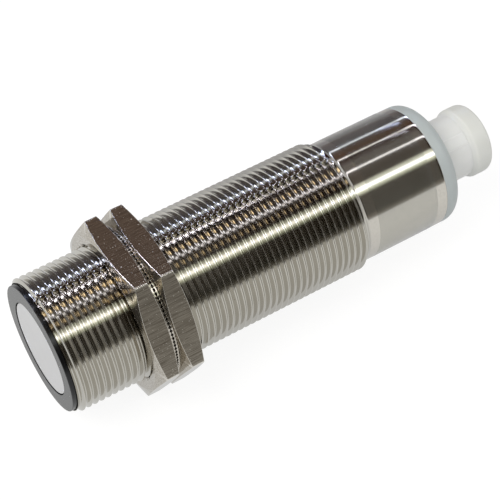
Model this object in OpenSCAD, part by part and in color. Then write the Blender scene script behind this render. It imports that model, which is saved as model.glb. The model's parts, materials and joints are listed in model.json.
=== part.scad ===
// Cylindrical ultrasonic distance sensor with an M30 threaded barrel, two lock nuts,
// a translucent light ring and a capped M12 plug.
// The axis runs along +X from the sensing face, at x = 0, to the plug. Turned pieces are given
// as [station along the axis, radius] and lie on their nuts, flats down, with +Z up.

/* [Barrel] */
// Nominal diameter of the barrel's thread
thread_d = 30; // [28:0.5:34]
// Pitch of the barrel's thread
thread_pitch = 1.5; // [1:0.25:2]
// Station where the metal barrel begins, behind the front ring
barrel_start = 1; // [0.8:0.1:2]
// Station where the thread's rear chamfer ends and the smooth shank begins
thread_end = 71.4; // [60:0.1:75]
// Station where the metal barrel ends
barrel_end = 91.6; // [86:0.1:110]
// How far the smooth shank lies inside the thread's crests, on the radius
shank_step = 1.15; // [1:0.05:1.4]
// Wall of the barrel at its shank
barrel_wall = 0.85; // [0.6:0.05:1.2]
// Height of the chamfer at the barrel's front edge
front_chamfer = 0.85; // [0.4:0.05:1.2]
// Length of the chamfer between thread and shank
rear_chamfer = 1.5; // [1:0.1:2]

/* [Lock nuts] */
// Wall of each nut between its thread and its flats, 3 for the standard 36 across flats
nut_wall = 3; // [2.6:0.1:5]
// Thickness of each nut's hexagon
nut_w = 4.85; // [4:0.05:6]
// Angle of the cones that take off the hexagon's corners
nut_cone = 18; // [12:1:30]
// Station of the plane where the two toothed faces meet
nuts_meet = 22.15; // [14:0.05:40]
// How far the toothed collar stays inside the nut's flats
collar_step = 0.7; // [0.5:0.05:0.9]
// Height of the collar under its teeth
collar_h = 0.2; // [0.1:0.05:0.4]
// Height of the teeth
tooth_h = 0.25; // [0.15:0.05:0.35]
// Number of teeth round each collar
teeth = 120; // [60:4:120]

/* [Transducer] */
// How far the dark front ring lies inside the thread's crests, on the radius
ring_step = 0.95; // [0.8:0.05:1.3]
// Width of the grey band that the front ring shows round the face
ring_band = 3.7; // [3.2:0.1:4.6]
// How far the face lies behind the ring's front
face_recess = 0.15; // [0.05:0.05:0.5]
// Thickness of the radiating face, a quarter wave
face_w = 2.85; // [2:0.05:3.5]
// How far the piezo disc stays inside the radiating face, on the radius
piezo_in = 2.65; // [1.5:0.05:4]
// Thickness of the piezo disc
piezo_w = 3; // [1.5:0.1:4]
// Depth of the transducer cup behind the sensing face
cup_depth = 14; // [12:0.5:18]

/* [Electronics] */
// How far the circuit board's edges stay inside the barrel's bore
board_in = 2; // [1.2:0.1:4]
// Thickness of the circuit board
board_t = 1.6; // [0.8:0.1:2]
// Diameter of the pot core of the driver transformer
core_d = 11; // [8:0.5:13]
// Height of the pot core
core_h = 7; // [4:0.5:8]
// Side of the controller chip
chip_a = 9; // [5:0.5:12]
// Diameter of the storage capacitor
cap_d = 6.3; // [4:0.1:8]
// Height of the storage capacitor
cap_h = 7.5; // [4:0.5:9]

/* [Light ring and plug] */
// Length of the light ring behind the barrel
light_l = 4.2; // [3.6:0.1:6]
// Radius of the light ring's rounded rear edge
light_round = 3; // [1:0.1:3.4]
// Nominal diameter of the plug's thread
plug_d = 12; // [11:0.5:13]
// Pitch of the plug's thread
plug_pitch = 1; // [0.75:0.25:1.25]
// Length of the plug behind the light ring
plug_l = 9.2; // [8:0.1:12]
// Bore of the plug's socket
socket_d = 8.5; // [8:0.1:8.8]
// Depth of the socket round the pins
socket_depth = 7; // [5:0.1:7.4]
// Diameter of the circle that the contact pins stand on
pin_circle_d = 5; // [4:0.1:5.4]
// Diameter of a contact pin
pin_d = 1; // [0.6:0.1:1.2]

/* [Dust cap] */
// Outer diameter of the dust cap's sleeve
cap_sleeve_d = 14.3; // [13.6:0.1:15.5]
// Outer diameter of the dust cap's head
cap_head_d = 16.1; // [15.7:0.1:18]
// Length of the dust cap's head
cap_head_l = 4.4; // [3.4:0.1:5]
// Thickness of the dust cap's end wall
cap_end_w = 3.3; // [1.5:0.1:3.5]

/* [Hidden] */
$fn = 96;

// Gap of a sliding fit on the radius
slide_gap = 0.05;
// Gap between pieces that are pressed or bonded together
seat_gap = 0.02;
// Length by which a cutter runs past the face that it cuts
past = 1;

thread_r = thread_d / 2;
nut_af = thread_d + 2 * nut_wall;
collar_d = nut_af - 2 * collar_step;
shank_r = thread_r - shank_step;
bore_r = shank_r - barrel_wall;
// Standard metric profile: 60 degree flanks, a flat of an eighth of the pitch on each crest
flank = 60;
function thread_depth(pitch) = 0.6134 * pitch;
function crest_flat(pitch) = pitch / 8;
function root_flat(pitch) = pitch - crest_flat(pitch) - 2 * thread_depth(pitch) * tan(flank / 2);

thread_start = barrel_start + front_chamfer;
thread_stop = thread_end - rear_chamfer;
thread_turns = floor((thread_stop - thread_start) / thread_pitch);
runout_w = 0.4;
runout_at = thread_stop + rear_chamfer / 3;
runout_h = 0.25;

// Lock nuts
bore_chamfer = 0.6;
cone_in = 0.6;
tooth_sunk = 0.05;
tooth_share = 0.8;
nut_total = nut_w + collar_h + tooth_h;

// Spigot of the light ring inside the barrel
spigot_l = 3.6;

// Sealing rings
seal_d = 1;
seal_gland = seal_d + 2 * seat_gap;
gland_w = 1.4;
front_seal_in = 2.6;
front_seal_x = barrel_start + front_seal_in;
rear_seal_x = barrel_end - spigot_l / 2;

// Transducer stack, from the sensing face inwards
ring_r = thread_r - ring_step;
ring_edge = 0.2;
face_gap = 0.2;
face_r = ring_r - ring_band - face_gap;
face_edge = 0.15;
lip_w = 0.8;
foam_w = 0.95;
foam_r = face_r + seat_gap;
pocket_r = foam_r + foam_w + seat_gap;
stack_x = face_recess + face_w;
piezo_r = face_r - piezo_in;
skirt_r = bore_r - slide_gap;
skirt_w = 0.95;
pocket_depth = 6;
foam_l = 8.2;
can_r = skirt_r - skirt_w - slide_gap;
can_w = 0.3;
lead_r = 0.3;
lead_y = 2;
lead_lap = 2;

// Board and what stands on it
board_gap = 5;
board_x = cup_depth + board_gap;
board_end = barrel_end - spigot_l - 1;
board_l = board_end - board_x;
board_w = 2 * (bore_r - board_in);
top_z = board_t / 2;
lead_z = top_z + lead_r + seat_gap;
core_at = 12;
core_x = board_x + core_at;
core_hole_r = 1.2;
chip_at = 29;
chip_x = board_x + chip_at;
chip_h = 1.4;
chip_dot_r = 0.5;
chip_dot_in = 1.2;
chip_dot_h = 0.1;
cap_at = 44;
cap_x = board_x + cap_at;
lamp_l = 1.6;
lamp_w = 1.2;
lamp_h = 0.8;
lamp_in = 1;
lamp_y = board_w / 2 - lamp_in;

// Light ring and plug
light_r = shank_r;
light_end = barrel_end + light_l;
light_wall = 2.7;
spigot_w = 2;
spigot_r = bore_r - slide_gap;
plug_r = plug_d / 2;
plug_end = light_end + plug_l;
flange_step = 3;
flange_r = plug_r + flange_step;
flange_w = 2;
neck_gap = 0.1;
neck_taper = 0.2;
flange_x = light_end - light_wall - flange_w - seat_gap;
neck_w = 0.9;
plug_thread_x = light_end + neck_w;
plug_chamfer = 0.5;
plug_turns = floor((plug_end - plug_chamfer - plug_thread_x) / plug_pitch);
socket_r = socket_d / 2;
socket_x = plug_end - socket_depth;
carrier_step = 0.3;
carrier_r = socket_r + carrier_step;
pin_r = pin_d / 2;
pin_set_back = 1;
pin_tip = plug_end - pin_set_back;
pin_lap = 2;
pin_tail = board_end - pin_lap;
pin_names = 4;
key_w = 0.9;
key_h = 0.55;

// Dust cap
cap_gap = 0.3;
cap_start = light_end + cap_gap;
cap_bore_r = plug_r + slide_gap;
cap_mouth = 0.3;
cap_floor = plug_end + cap_gap;
cap_end = cap_floor + cap_end_w;
sleeve_r = cap_sleeve_d / 2;
head_r = cap_head_d / 2;
head_slope = 0.7;
head_round = 1.3;
pad_h = 0.12;
pad_in = 0.2;
pad_angle = 22;
pads = 4;
pad_turn = 22;

// Points of a quarter arc from angle a0 to a1, in station and radius
function arc(x, r, size, a0, a1, steps = 10) =
    [for (i = [0:steps]) let (a = a0 + (a1 - a0) * i / steps) [x + size * cos(a), r + size * sin(a)]];

// Ring grooves of a thread's profile along the axis, as station and radius
function grooves(start, turns, pitch, r) = [
    for (i = [0:turns - 1])
        let (x = start + (i + 0.5) * pitch, depth = thread_depth(pitch),
             top = (pitch - crest_flat(pitch)) / 2, low = root_flat(pitch) / 2)
            for (p = [[-top, 0], [-low, depth], [low, depth], [top, 0]])
                [x + p[0], r - p[1]]
];

// A turned piece, from its closed outline of stations and radii
module turned(outline) {
    rotate([0, 90, 0])
        rotate_extrude(convexity = 8)
            polygon([for (p = outline) [p[1], p[0]]]);
}

// A plain disc or ring between two stations
module ring(x0, x1, outer, inner = 0) {
    translate([x0, 0, 0])
        rotate([0, 90, 0])
            difference() {
                cylinder(h = x1 - x0, r = outer);
                if (inner > 0)
                    translate([0, 0, -past])
                        cylinder(h = x1 - x0 + 2 * past, r = inner);
            }
}

// A block on the board's upper face
module on_board(x, y, size) {
    translate([x - size[0] / 2, y - size[1] / 2, top_z])
        cube(size);
}

module barrel() {
    color("silver")
        turned(concat(
            [[barrel_start, bore_r], [barrel_start, thread_r - front_chamfer], [thread_start, thread_r]],
            grooves(thread_start, thread_turns, thread_pitch, thread_r),
            [[thread_stop, thread_r],
             [runout_at, thread_r - (thread_r - shank_r) / 3],
             [runout_at, shank_r + runout_h],
             [runout_at + runout_w, shank_r + runout_h],
             [thread_end, shank_r],
             [barrel_end, shank_r], [barrel_end, bore_r]]
        ));
}

// One lock nut, from its plain face at station 0 to its toothed face
module lock_nut() {
    across_corners = nut_af / cos(30);
    bore = thread_r + slide_gap;
    cone_start = nut_af / 2 - cone_in;
    cone_top = across_corners / 2 + past;
    cone_h = (cone_top - cone_start) * tan(nut_cone);
    collar_top = nut_w + collar_h;
    tooth_in = bore + bore_chamfer + tooth_sunk;
    tooth_out = collar_d / 2 - tooth_sunk;
    tooth_w = tooth_share * 2 * PI * tooth_in / teeth;
    difference() {
        union() {
            intersection() {
                rotate([0, 90, 0])
                    rotate([0, 0, 30])
                        linear_extrude(height = nut_w)
                            circle(d = across_corners, $fn = 6);
                turned([[0, 0], [0, cone_start], [cone_h, cone_top],
                        [nut_w - cone_h, cone_top], [nut_w, cone_start], [nut_w, 0]]);
            }
            ring(nut_w - past, collar_top, collar_d / 2);
            for (i = [0:teeth - 1])
                rotate([i * 360 / teeth, 0, 0])
                    translate([collar_top, 0, tooth_in])
                        linear_extrude(height = tooth_out - tooth_in)
                            polygon([[-tooth_sunk, -tooth_w / 2], [0, -tooth_w / 2], [tooth_h, 0],
                                     [0, tooth_w / 2], [-tooth_sunk, tooth_w / 2]]);
        }
        turned([[-past, 0], [-past, bore + bore_chamfer + past], [bore_chamfer, bore],
                [collar_top - bore_chamfer, bore], [collar_top + past, bore + bore_chamfer + past],
                [collar_top + past, 0]]);
    }
}

module front_nut() {
    color("silver")
        translate([nuts_meet - seat_gap - nut_total, 0, 0])
            lock_nut();
}

module rear_nut() {
    color("silver")
        translate([nuts_meet + seat_gap + nut_total, 0, 0])
            rotate([0, 0, 180])
                lock_nut();
}

// Dark plastic ring with the cup that holds the transducer in the barrel's mouth
module transducer_ring() {
    color("dimgray")
        turned([
            [0, face_r + face_gap], [0, ring_r - ring_edge], [ring_edge, ring_r],
            [barrel_start - seat_gap, ring_r], [barrel_start - seat_gap, skirt_r],
            [front_seal_x - gland_w / 2, skirt_r],
            [front_seal_x - gland_w / 2, bore_r - seal_gland],
            [front_seal_x + gland_w / 2, bore_r - seal_gland],
            [front_seal_x + gland_w / 2, skirt_r],
            [cup_depth, skirt_r], [cup_depth, skirt_r - skirt_w],
            [pocket_depth, skirt_r - skirt_w], [pocket_depth, pocket_r],
            [lip_w, pocket_r], [lip_w, face_r + face_gap]
        ]);
}

// A sealing ring in its gland under the barrel's bore
module seal(x) {
    rotate([0, 90, 0])
        rotate_extrude()
            translate([bore_r - seat_gap - seal_d / 2, x])
                circle(d = seal_d, $fn = 32);
}

module front_seal() {
    color("black")
        seal(front_seal_x);
}

module radiating_face() {
    color("gainsboro")
        turned([[face_recess, 0], [face_recess, face_r - face_edge], [face_recess + face_edge, face_r],
                [stack_x, face_r], [stack_x, 0]]);
}

module decoupling_foam() {
    color("darkslategray")
        ring(lip_w + seat_gap, lip_w + seat_gap + foam_l, foam_r + foam_w, foam_r);
}

module piezo_disc() {
    color("khaki")
        ring(stack_x + seat_gap, stack_x + seat_gap + piezo_w, piezo_r);
}

// The pair of leads from the piezo disc to the board
module lead_pair(grow = 0) {
    for (side = [-1, 1])
        translate([stack_x + 2 * seat_gap + piezo_w, side * lead_y, lead_z])
            rotate([0, 90, 0])
                cylinder(h = board_x + lead_lap - stack_x - piezo_w, r = lead_r + grow, $fn = 24);
}

// Rubber block behind the piezo disc that stops it ringing
module damping_block() {
    color("saddlebrown")
        difference() {
            ring(stack_x + seat_gap, cup_depth - can_w - 2 * seat_gap, face_r);
            ring(stack_x - past, stack_x + 2 * seat_gap + piezo_w, piezo_r + seat_gap);
            lead_pair(seat_gap);
        }
}

// Metal cup that screens the transducer from the board
module screening_can() {
    color("silver")
        difference() {
            ring(pocket_depth + seat_gap, cup_depth, can_r);
            ring(pocket_depth - past, cup_depth - can_w, can_r - can_w);
            lead_pair(4 * seat_gap);
        }
}

module transducer_leads() {
    color("firebrick")
        lead_pair();
}

module board_blank(grow = 0) {
    translate([board_x - grow, -board_w / 2 - grow, -board_t / 2 - grow])
        cube([board_l + 2 * grow, board_w + 2 * grow, board_t + 2 * grow]);
}

module circuit_board() {
    color("darkgreen")
        board_blank();
}

module core_blank(grow = 0) {
    translate([core_x, 0, top_z + seat_gap])
        cylinder(h = core_h + grow, d = core_d + 2 * grow);
}

module driver_transformer() {
    color("gray")
        difference() {
            core_blank();
            translate([core_x, 0, top_z + core_h / 2])
                cylinder(h = core_h, r = core_hole_r, $fn = 32);
        }
}

module chip_blank(grow = 0) {
    translate([-grow / 2, 0, seat_gap])
        on_board(chip_x, 0, [chip_a + grow, chip_a + grow, chip_h + grow]);
}

module controller_chip() {
    dot_out = chip_a / 2 - chip_dot_in;
    color("black")
        difference() {
            chip_blank();
            translate([chip_x - dot_out, dot_out, top_z + chip_h - chip_dot_h])
                cylinder(h = past, r = chip_dot_r, $fn = 24);
        }
}

module capacitor_blank(grow = 0) {
    translate([cap_x, 0, top_z + seat_gap])
        cylinder(h = cap_h + grow, d = cap_d + 2 * grow);
}

module storage_capacitor() {
    color("lightsteelblue")
        capacitor_blank();
}

// Two lamps at the board's rear corners, under the light ring
module status_lights(grow = 0) {
    color("gold")
        for (side = [-1, 1])
            translate([0, 0, seat_gap])
                on_board(board_end - lamp_l, side * lamp_y, [lamp_l + grow, lamp_w + grow, lamp_h + grow]);
}

// Cast resin that fills the barrel round the board
module potting() {
    color("darkslateblue")
        difference() {
            ring(cup_depth + seat_gap, barrel_end - spigot_l - 2 * seat_gap, bore_r - seat_gap);
            board_blank(seat_gap);
            core_blank(seat_gap);
            chip_blank(2 * seat_gap);
            capacitor_blank(seat_gap);
            status_lights(2 * seat_gap);
            lead_pair(seat_gap);
            for (i = [1:pin_names])
                pin_blank(i, seat_gap);
        }
}

// Translucent end piece that lets the status lights show all round
module light_ring() {
    color([0.72, 0.77, 0.76, 0.8])
        turned(concat(
            [[barrel_end - spigot_l, spigot_r - spigot_w], [barrel_end - spigot_l, spigot_r],
             [rear_seal_x - gland_w / 2, spigot_r],
             [rear_seal_x - gland_w / 2, bore_r - seal_gland],
             [rear_seal_x + gland_w / 2, bore_r - seal_gland],
             [rear_seal_x + gland_w / 2, spigot_r],
             [barrel_end + seat_gap, spigot_r], [barrel_end + seat_gap, light_r]],
            arc(light_end - light_round, light_r - light_round, light_round, 90, 0),
            [[light_end, plug_r + seat_gap], [light_end - light_wall, plug_r + seat_gap],
             [light_end - light_wall, spigot_r - spigot_w]]
        ));
}

module rear_seal() {
    color("black")
        seal(rear_seal_x);
}

// Threaded metal shell of the plug, held by its flange behind the light ring's wall
module plug_shell() {
    color("silver")
        turned(concat(
            [[flange_x, carrier_r + seat_gap], [flange_x, flange_r], [flange_x + flange_w, flange_r],
             [flange_x + flange_w, plug_r], [light_end + neck_gap, plug_r],
             [light_end + neck_gap, plug_r - thread_depth(plug_pitch)],
             [plug_thread_x - neck_taper, plug_r - thread_depth(plug_pitch)], [plug_thread_x, plug_r]],
            grooves(plug_thread_x, plug_turns, plug_pitch, plug_r),
            [[plug_end - plug_chamfer, plug_r], [plug_end, plug_r - plug_chamfer],
             [plug_end, socket_r], [socket_x, socket_r], [socket_x, carrier_r + seat_gap]]
        ));
}

// Plastic insert of the plug, with the coding key that points up
module contact_carrier() {
    color("black")
        difference() {
            union() {
                ring(flange_x, socket_x - seat_gap, carrier_r);
                translate([socket_x - past, -key_w / 2, socket_r - slide_gap - key_h])
                    cube([past + socket_depth - pin_set_back, key_w, key_h]);
            }
            for (i = [1:pin_names])
                pin_blank(i, seat_gap);
        }
}

// One contact pin, counted round the plug's axis
module pin_blank(i, grow = 0) {
    turn = 45 + (i - 1) * 360 / pin_names;
    rotate([turn, 0, 0])
        translate([pin_tail - grow, 0, pin_circle_d / 2])
            rotate([0, 90, 0]) {
                cylinder(h = pin_tip - pin_tail - pin_r + grow, r = pin_r + grow, $fn = 24);
                translate([0, 0, pin_tip - pin_tail - pin_r])
                    cylinder(h = pin_r, r1 = pin_r + grow, r2 = pin_r / 2 + grow, $fn = 24);
            }
}

module contact_pin(i) {
    color("gold")
        pin_blank(i);
}

// Soft push-on cap over the plug, with four shallow grip pads along its sleeve
module dust_cap() {
    color([0.82, 0.82, 0.8, 0.85]) {
        turned(concat(
            [[cap_start, cap_bore_r + cap_mouth], [cap_start, sleeve_r],
             [cap_end - cap_head_l - head_slope, sleeve_r],
             [cap_end - cap_head_l - head_slope / 3, sleeve_r + (head_r - sleeve_r) * 0.7],
             [cap_end - cap_head_l + head_slope / 3, head_r]],
            arc(cap_end - head_round, head_r - head_round, head_round, 90, 0, 8),
            [[cap_end, 0], [cap_floor, 0], [cap_floor, cap_bore_r], [cap_start + cap_mouth, cap_bore_r]]
        ));
        for (i = [0:pads - 1])
            rotate([pad_turn + i * 360 / pads, 0, 0])
                rotate([0, 90, 0])
                    rotate_extrude(angle = pad_angle)
                        translate([sleeve_r - pad_h, cap_start + pad_in])
                            square([2 * pad_h, cap_end - cap_head_l - head_slope - cap_start - 2 * pad_in]);
    }
}

barrel();
front_nut();
rear_nut();
transducer_ring();
front_seal();
radiating_face();
decoupling_foam();
piezo_disc();
damping_block();
screening_can();
transducer_leads();
circuit_board();
driver_transformer();
controller_chip();
storage_capacitor();
status_lights();
potting();
light_ring();
rear_seal();
plug_shell();
contact_carrier();
contact_pin(1);  // contact_pin_1
contact_pin(2);  // contact_pin_2
contact_pin(3);  // contact_pin_3
contact_pin(4);  // contact_pin_4
dust_cap();
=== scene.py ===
"""Looks of a cylindrical ultrasonic distance sensor with two lock nuts, on a white sheet.

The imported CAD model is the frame. Its turned pieces that show are replaced by finer surfaces,
which are worked out with numpy: a section of stations and radii is turned round the axis.
Sizes are in millimetres, stations run along +X from the sensing face, and angles run round
the axis from +Z towards -Y, the side that faces the camera.
"""

import json
import logging
from dataclasses import dataclass, field
from enum import Enum

import bmesh
import bpy
import numpy as np
from mathutils import Matrix, Vector

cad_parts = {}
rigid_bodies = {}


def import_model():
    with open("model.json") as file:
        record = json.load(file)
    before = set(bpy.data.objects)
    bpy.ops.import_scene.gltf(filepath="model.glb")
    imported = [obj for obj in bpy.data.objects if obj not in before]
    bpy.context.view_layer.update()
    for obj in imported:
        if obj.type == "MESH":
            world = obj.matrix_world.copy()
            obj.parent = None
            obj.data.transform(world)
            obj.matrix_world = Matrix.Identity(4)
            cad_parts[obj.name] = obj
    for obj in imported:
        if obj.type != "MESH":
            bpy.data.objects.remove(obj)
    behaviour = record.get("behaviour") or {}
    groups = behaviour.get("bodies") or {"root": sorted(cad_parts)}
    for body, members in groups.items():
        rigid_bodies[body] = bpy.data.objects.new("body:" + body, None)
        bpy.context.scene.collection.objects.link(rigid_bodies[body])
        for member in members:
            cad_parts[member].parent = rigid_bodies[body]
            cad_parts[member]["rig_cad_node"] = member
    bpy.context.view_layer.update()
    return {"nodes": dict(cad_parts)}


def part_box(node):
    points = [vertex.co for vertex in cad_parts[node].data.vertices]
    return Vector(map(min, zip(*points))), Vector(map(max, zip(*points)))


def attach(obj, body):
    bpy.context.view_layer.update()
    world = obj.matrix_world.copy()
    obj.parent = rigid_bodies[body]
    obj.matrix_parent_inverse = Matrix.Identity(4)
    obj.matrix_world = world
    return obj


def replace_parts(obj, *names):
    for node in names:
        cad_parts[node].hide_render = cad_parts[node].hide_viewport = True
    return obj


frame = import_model()

MM = 0.001
TURN = 2 * np.pi
MERGE = 0.0004  # Points closer than this, in millimetres, are one point
NOISE_SPAN = (0.3, 0.7)  # Nearly all values of a noise texture lie between these
PLAIN_SHEEN = 0.5  # Specular level at which a surface mirrors as its refractive index says
WHITE = (1.0, 1.0, 1.0)
Colour = tuple[float, float, float]
Place = tuple[float, float, float]
Window = tuple[float, float, float, float]
Socket = bpy.types.NodeSocket

log = logging.getLogger("sensor")


# Shapes


def span(node: str) -> tuple[np.ndarray, np.ndarray]:
    """Lowest and highest corner of a CAD node, in millimetres.

    Args:
        node: the CAD node's name.

    Returns:
        Both corners as arrays of x, y and z.
    """
    low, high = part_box(node)
    return np.array(low) / MM, np.array(high) / MM


def even_angles(columns: int) -> np.ndarray:
    """Angles of a number of even steps round the axis, in radians, without the full turn."""
    return np.arange(columns) * (TURN / columns)


def smooth_step(value: np.ndarray) -> np.ndarray:
    """The curve 3t^2 - 2t^3 of a value kept between 0 and 1."""
    t = np.clip(value, 0, 1)
    return t * t * (3 - 2 * t)


def rounded(corners: list[tuple[object, object, float]], columns: int = 1, closed: bool = True,
            steps: int = 4) -> np.ndarray:
    """Rounds the corners of an outline, in all its columns at once.

    Each corner C gives way to the curve (1-t)^2 A + 2t(1-t) C + t^2 B. A and B lie on the corner's
    two sides, the cut's length away from it but never past the middle of a side.

    Args:
        corners: station, radius and cut of each corner. The cut is how far from the corner its
            rounding starts. Station and radius are one number, or one for each column.
        columns: number of columns, or 1 if the outline is the same all round.
        closed: whether the last corner joins the first. The ends of an open outline stay sharp.
        steps: how many pieces each rounding has.

    Returns:
        The rounded outline, (point, column, 2).
    """
    places = np.array([[np.broadcast_to(np.asarray(value, float), columns) for value in corner[:2]]
                       for corner in corners]).transpose(0, 2, 1)
    cut = np.array([corner[2] for corner in corners], float)[:, None, None]
    if not closed:
        cut[[0, -1]] = 0
    back = np.roll(places, 1, axis=0) - places
    on = np.roll(places, -1, axis=0) - places
    shortest = 1e-9
    length_back = np.maximum(np.linalg.norm(back, axis=2, keepdims=True), shortest)
    length_on = np.maximum(np.linalg.norm(on, axis=2, keepdims=True), shortest)
    a = places + back / length_back * np.minimum(cut, length_back / 2)
    b = places + on / length_on * np.minimum(cut, length_on / 2)
    t = np.linspace(0, 1, steps + 1)[None, :, None, None]
    curve = (1 - t) ** 2 * a[:, None] + 2 * t * (1 - t) * places[:, None] + t ** 2 * b[:, None]
    return curve.reshape(-1, *places.shape[1:])


def turned_points(section: np.ndarray, angles: np.ndarray) -> np.ndarray:
    """Points of a section turned round the axis.

    x is the station, y = -r sin(angle) and z = r cos(angle).

    Args:
        section: stations and radii, (point, column or 1, 2).
        angles: the angle of each column, in radians.

    Returns:
        The points in millimetres, (point, column, 3).
    """
    rows = section.shape[0]
    station = np.broadcast_to(section[..., 0], (rows, angles.size))
    radius = np.broadcast_to(section[..., 1], (rows, angles.size))
    return np.stack([station, -radius * np.sin(angles), radius * np.cos(angles)], axis=2)


def grid_faces(rows: int, columns: int, close_rows: bool,
               close_columns: bool = True) -> np.ndarray:
    """Four-sided faces of a grid, whose last row and column may join the first.

    Args:
        rows: number of rows of points.
        columns: number of columns of points.
        close_rows: whether the last row joins the first.
        close_columns: whether the last column joins the first.

    Returns:
        The corners' indices, (face, 4).
    """
    index = np.arange(rows * columns).reshape(rows, columns)
    if close_rows:
        index = np.vstack([index, index[:1]])
    if close_columns:
        index = np.hstack([index, index[:, :1]])
    faces = [index[:-1, :-1], index[1:, :-1], index[1:, 1:], index[:-1, 1:]]
    return np.stack(faces, axis=2).reshape(-1, 4)


def mend(mesh: bpy.types.Mesh, crease: float, drop_flat: bool = True) -> None:
    """Merges points that fall together, turns the faces outwards and shades them smooth.

    Args:
        mesh: the mesh.
        crease: angle in degrees past which an edge stays sharp.
        drop_flat: whether faces that have lost their area go.
    """
    shell = bmesh.new()
    shell.from_mesh(mesh)
    bmesh.ops.remove_doubles(shell, verts=shell.verts, dist=MERGE * MM)
    if drop_flat:
        bmesh.ops.dissolve_degenerate(shell, edges=shell.edges, dist=MERGE * MM)
    bmesh.ops.recalc_face_normals(shell, faces=shell.faces)
    shell.to_mesh(mesh)
    shell.free()
    mesh.polygons.foreach_set("use_smooth", np.ones(len(mesh.polygons), bool))
    mesh.set_sharp_from_angle(angle=np.radians(crease))


def in_scene(name: str, data: bpy.types.ID) -> bpy.types.Object:
    """Makes an object and puts it in the scene.

    Args:
        name: the object's name.
        data: the mesh, camera or lamp that it holds.

    Returns:
        The new object.
    """
    thing = bpy.data.objects.new(name, data)
    bpy.context.scene.collection.objects.link(thing)
    return thing


def solid(name: str, points: np.ndarray, close_rows: bool = True, crease: float = 38,
          wear_and_highlight: np.ndarray | None = None) -> bpy.types.Object:
    """Makes a closed mesh object of a grid of points that goes all round.

    Points fall together at a pole or where a thread runs out, and are merged. The shading is
    weighted by the faces' areas.

    Args:
        name: the piece's name.
        points: the grid in millimetres, (row, column, 3).
        close_rows: whether the section is a closed loop. If not, both its ends lie on the axis.
        crease: angle in degrees past which an edge stays sharp.
        wear_and_highlight: how exposed each point is to wear, and how much painted highlight it
            gets, from 0 to 1, kept as the attribute "edge".

    Returns:
        The new object, linked to the scene, with its place in its mesh.
    """
    rows, columns, _ = points.shape
    mesh = bpy.data.meshes.new(name)
    mesh.from_pydata(points.reshape(-1, 3) * MM, [], grid_faces(rows, columns, close_rows))
    if wear_and_highlight is not None:
        values = np.broadcast_to(wear_and_highlight, (rows, columns)).astype(np.float32)
        edge = mesh.attributes.new("edge", "FLOAT", "POINT")
        edge.data.foreach_set("value", values.ravel())
    mend(mesh, crease)
    piece = in_scene(name, mesh)
    piece.modifiers.new("weighted_normals", "WEIGHTED_NORMAL").keep_sharp = True
    return piece


@dataclass(frozen=True)
class Thread:
    """A right-handed thread cut into a turned piece.

    Attributes:
        crest: radius of the crests.
        pitch: how far one turn goes along the axis.
        depth: depth of the grooves.
        start: station where the thread begins.
        stop: station where the thread ends.
        phase: station of a crest at angle 0.
        crest_round: radius of the rounding at the crests' edges.
        root_round: radius of the rounding at the roots.
        flank_deg: how far the flanks turn from the axis, in degrees.
        crest_points: number of points on the rounding at a crest's edge.
        root_points: number of points on half a root.
    """

    crest: float
    pitch: float
    depth: float
    start: float
    stop: float
    phase: float
    crest_round: float = 0.05
    root_round: float = 0.2165
    flank_deg: float = 60.0
    crest_points: int = 3
    root_points: int = 5

    def knots(self) -> tuple[np.ndarray, np.ndarray]:
        """One turn's profile from crest to crest: flat crest, straight flanks, rounded root.

        The rounding at a crest's edge is x = f + c sin(a), sunk c (1 - cos(a)), for a from 0 to the
        flank's angle. The root's is x = pitch / 2 - r sin(a), sunk depth - r (1 - cos(a)). The
        flat's half width f follows from the straight flank that joins both.

        Returns:
            Distances along the axis and how deep the surface is sunk there, both in millimetres.
        """
        half = self.pitch / 2
        turn = np.radians(self.flank_deg)
        edge = half - (self.depth + self.root_round) / np.tan(turn)
        flat = edge - self.crest_round * np.tan(turn / 2)
        up, down = np.linspace(0, turn, self.crest_points), np.linspace(turn, 0, self.root_points)
        x = np.concatenate([flat + self.crest_round * np.sin(up),
                            half - self.root_round * np.sin(down)])
        sunk = np.concatenate([self.crest_round * (1 - np.cos(up)),
                               self.depth - self.root_round * (1 - np.cos(down))])
        rest = slice(-2, None, -1)
        return np.concatenate([x, self.pitch - x[rest]]), np.concatenate([sunk, sunk[rest]])

    def section(self, angles: np.ndarray, limit: np.ndarray) -> np.ndarray:
        """Stations and radii of the thread's rows in each column.

        A row lies at the station s + pitch * angle / full turn, where s runs through the knots of
        every turn, and is kept between start and stop. Its radius is the crest's less what the
        knot is sunk, and never more than the limit.

        Args:
            angles: the columns' angles in radians.
            limit: stations and largest radii of the blank, (point, 2), such as its chamfers.

        Returns:
            The rows, (point, column, 2).
        """
        first = np.floor((self.start - self.phase) / self.pitch) - 1
        last = np.ceil((self.stop - self.phase) / self.pitch)
        along, sunk = self.knots()
        turns = np.arange(first, last + 1)
        s = (self.phase + self.pitch * turns[:, None] + along).ravel()
        depth = np.tile(sunk, turns.size)
        station = s[:, None] + self.pitch * angles / TURN
        inside = (station.max(axis=1) > self.start) & (station.min(axis=1) < self.stop)
        station = np.clip(station[inside], self.start, self.stop)
        radius = np.minimum(self.crest - depth[inside, None], np.interp(station, *limit.T))
        return np.stack([station, radius], axis=2)


# Shader graphs


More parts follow.
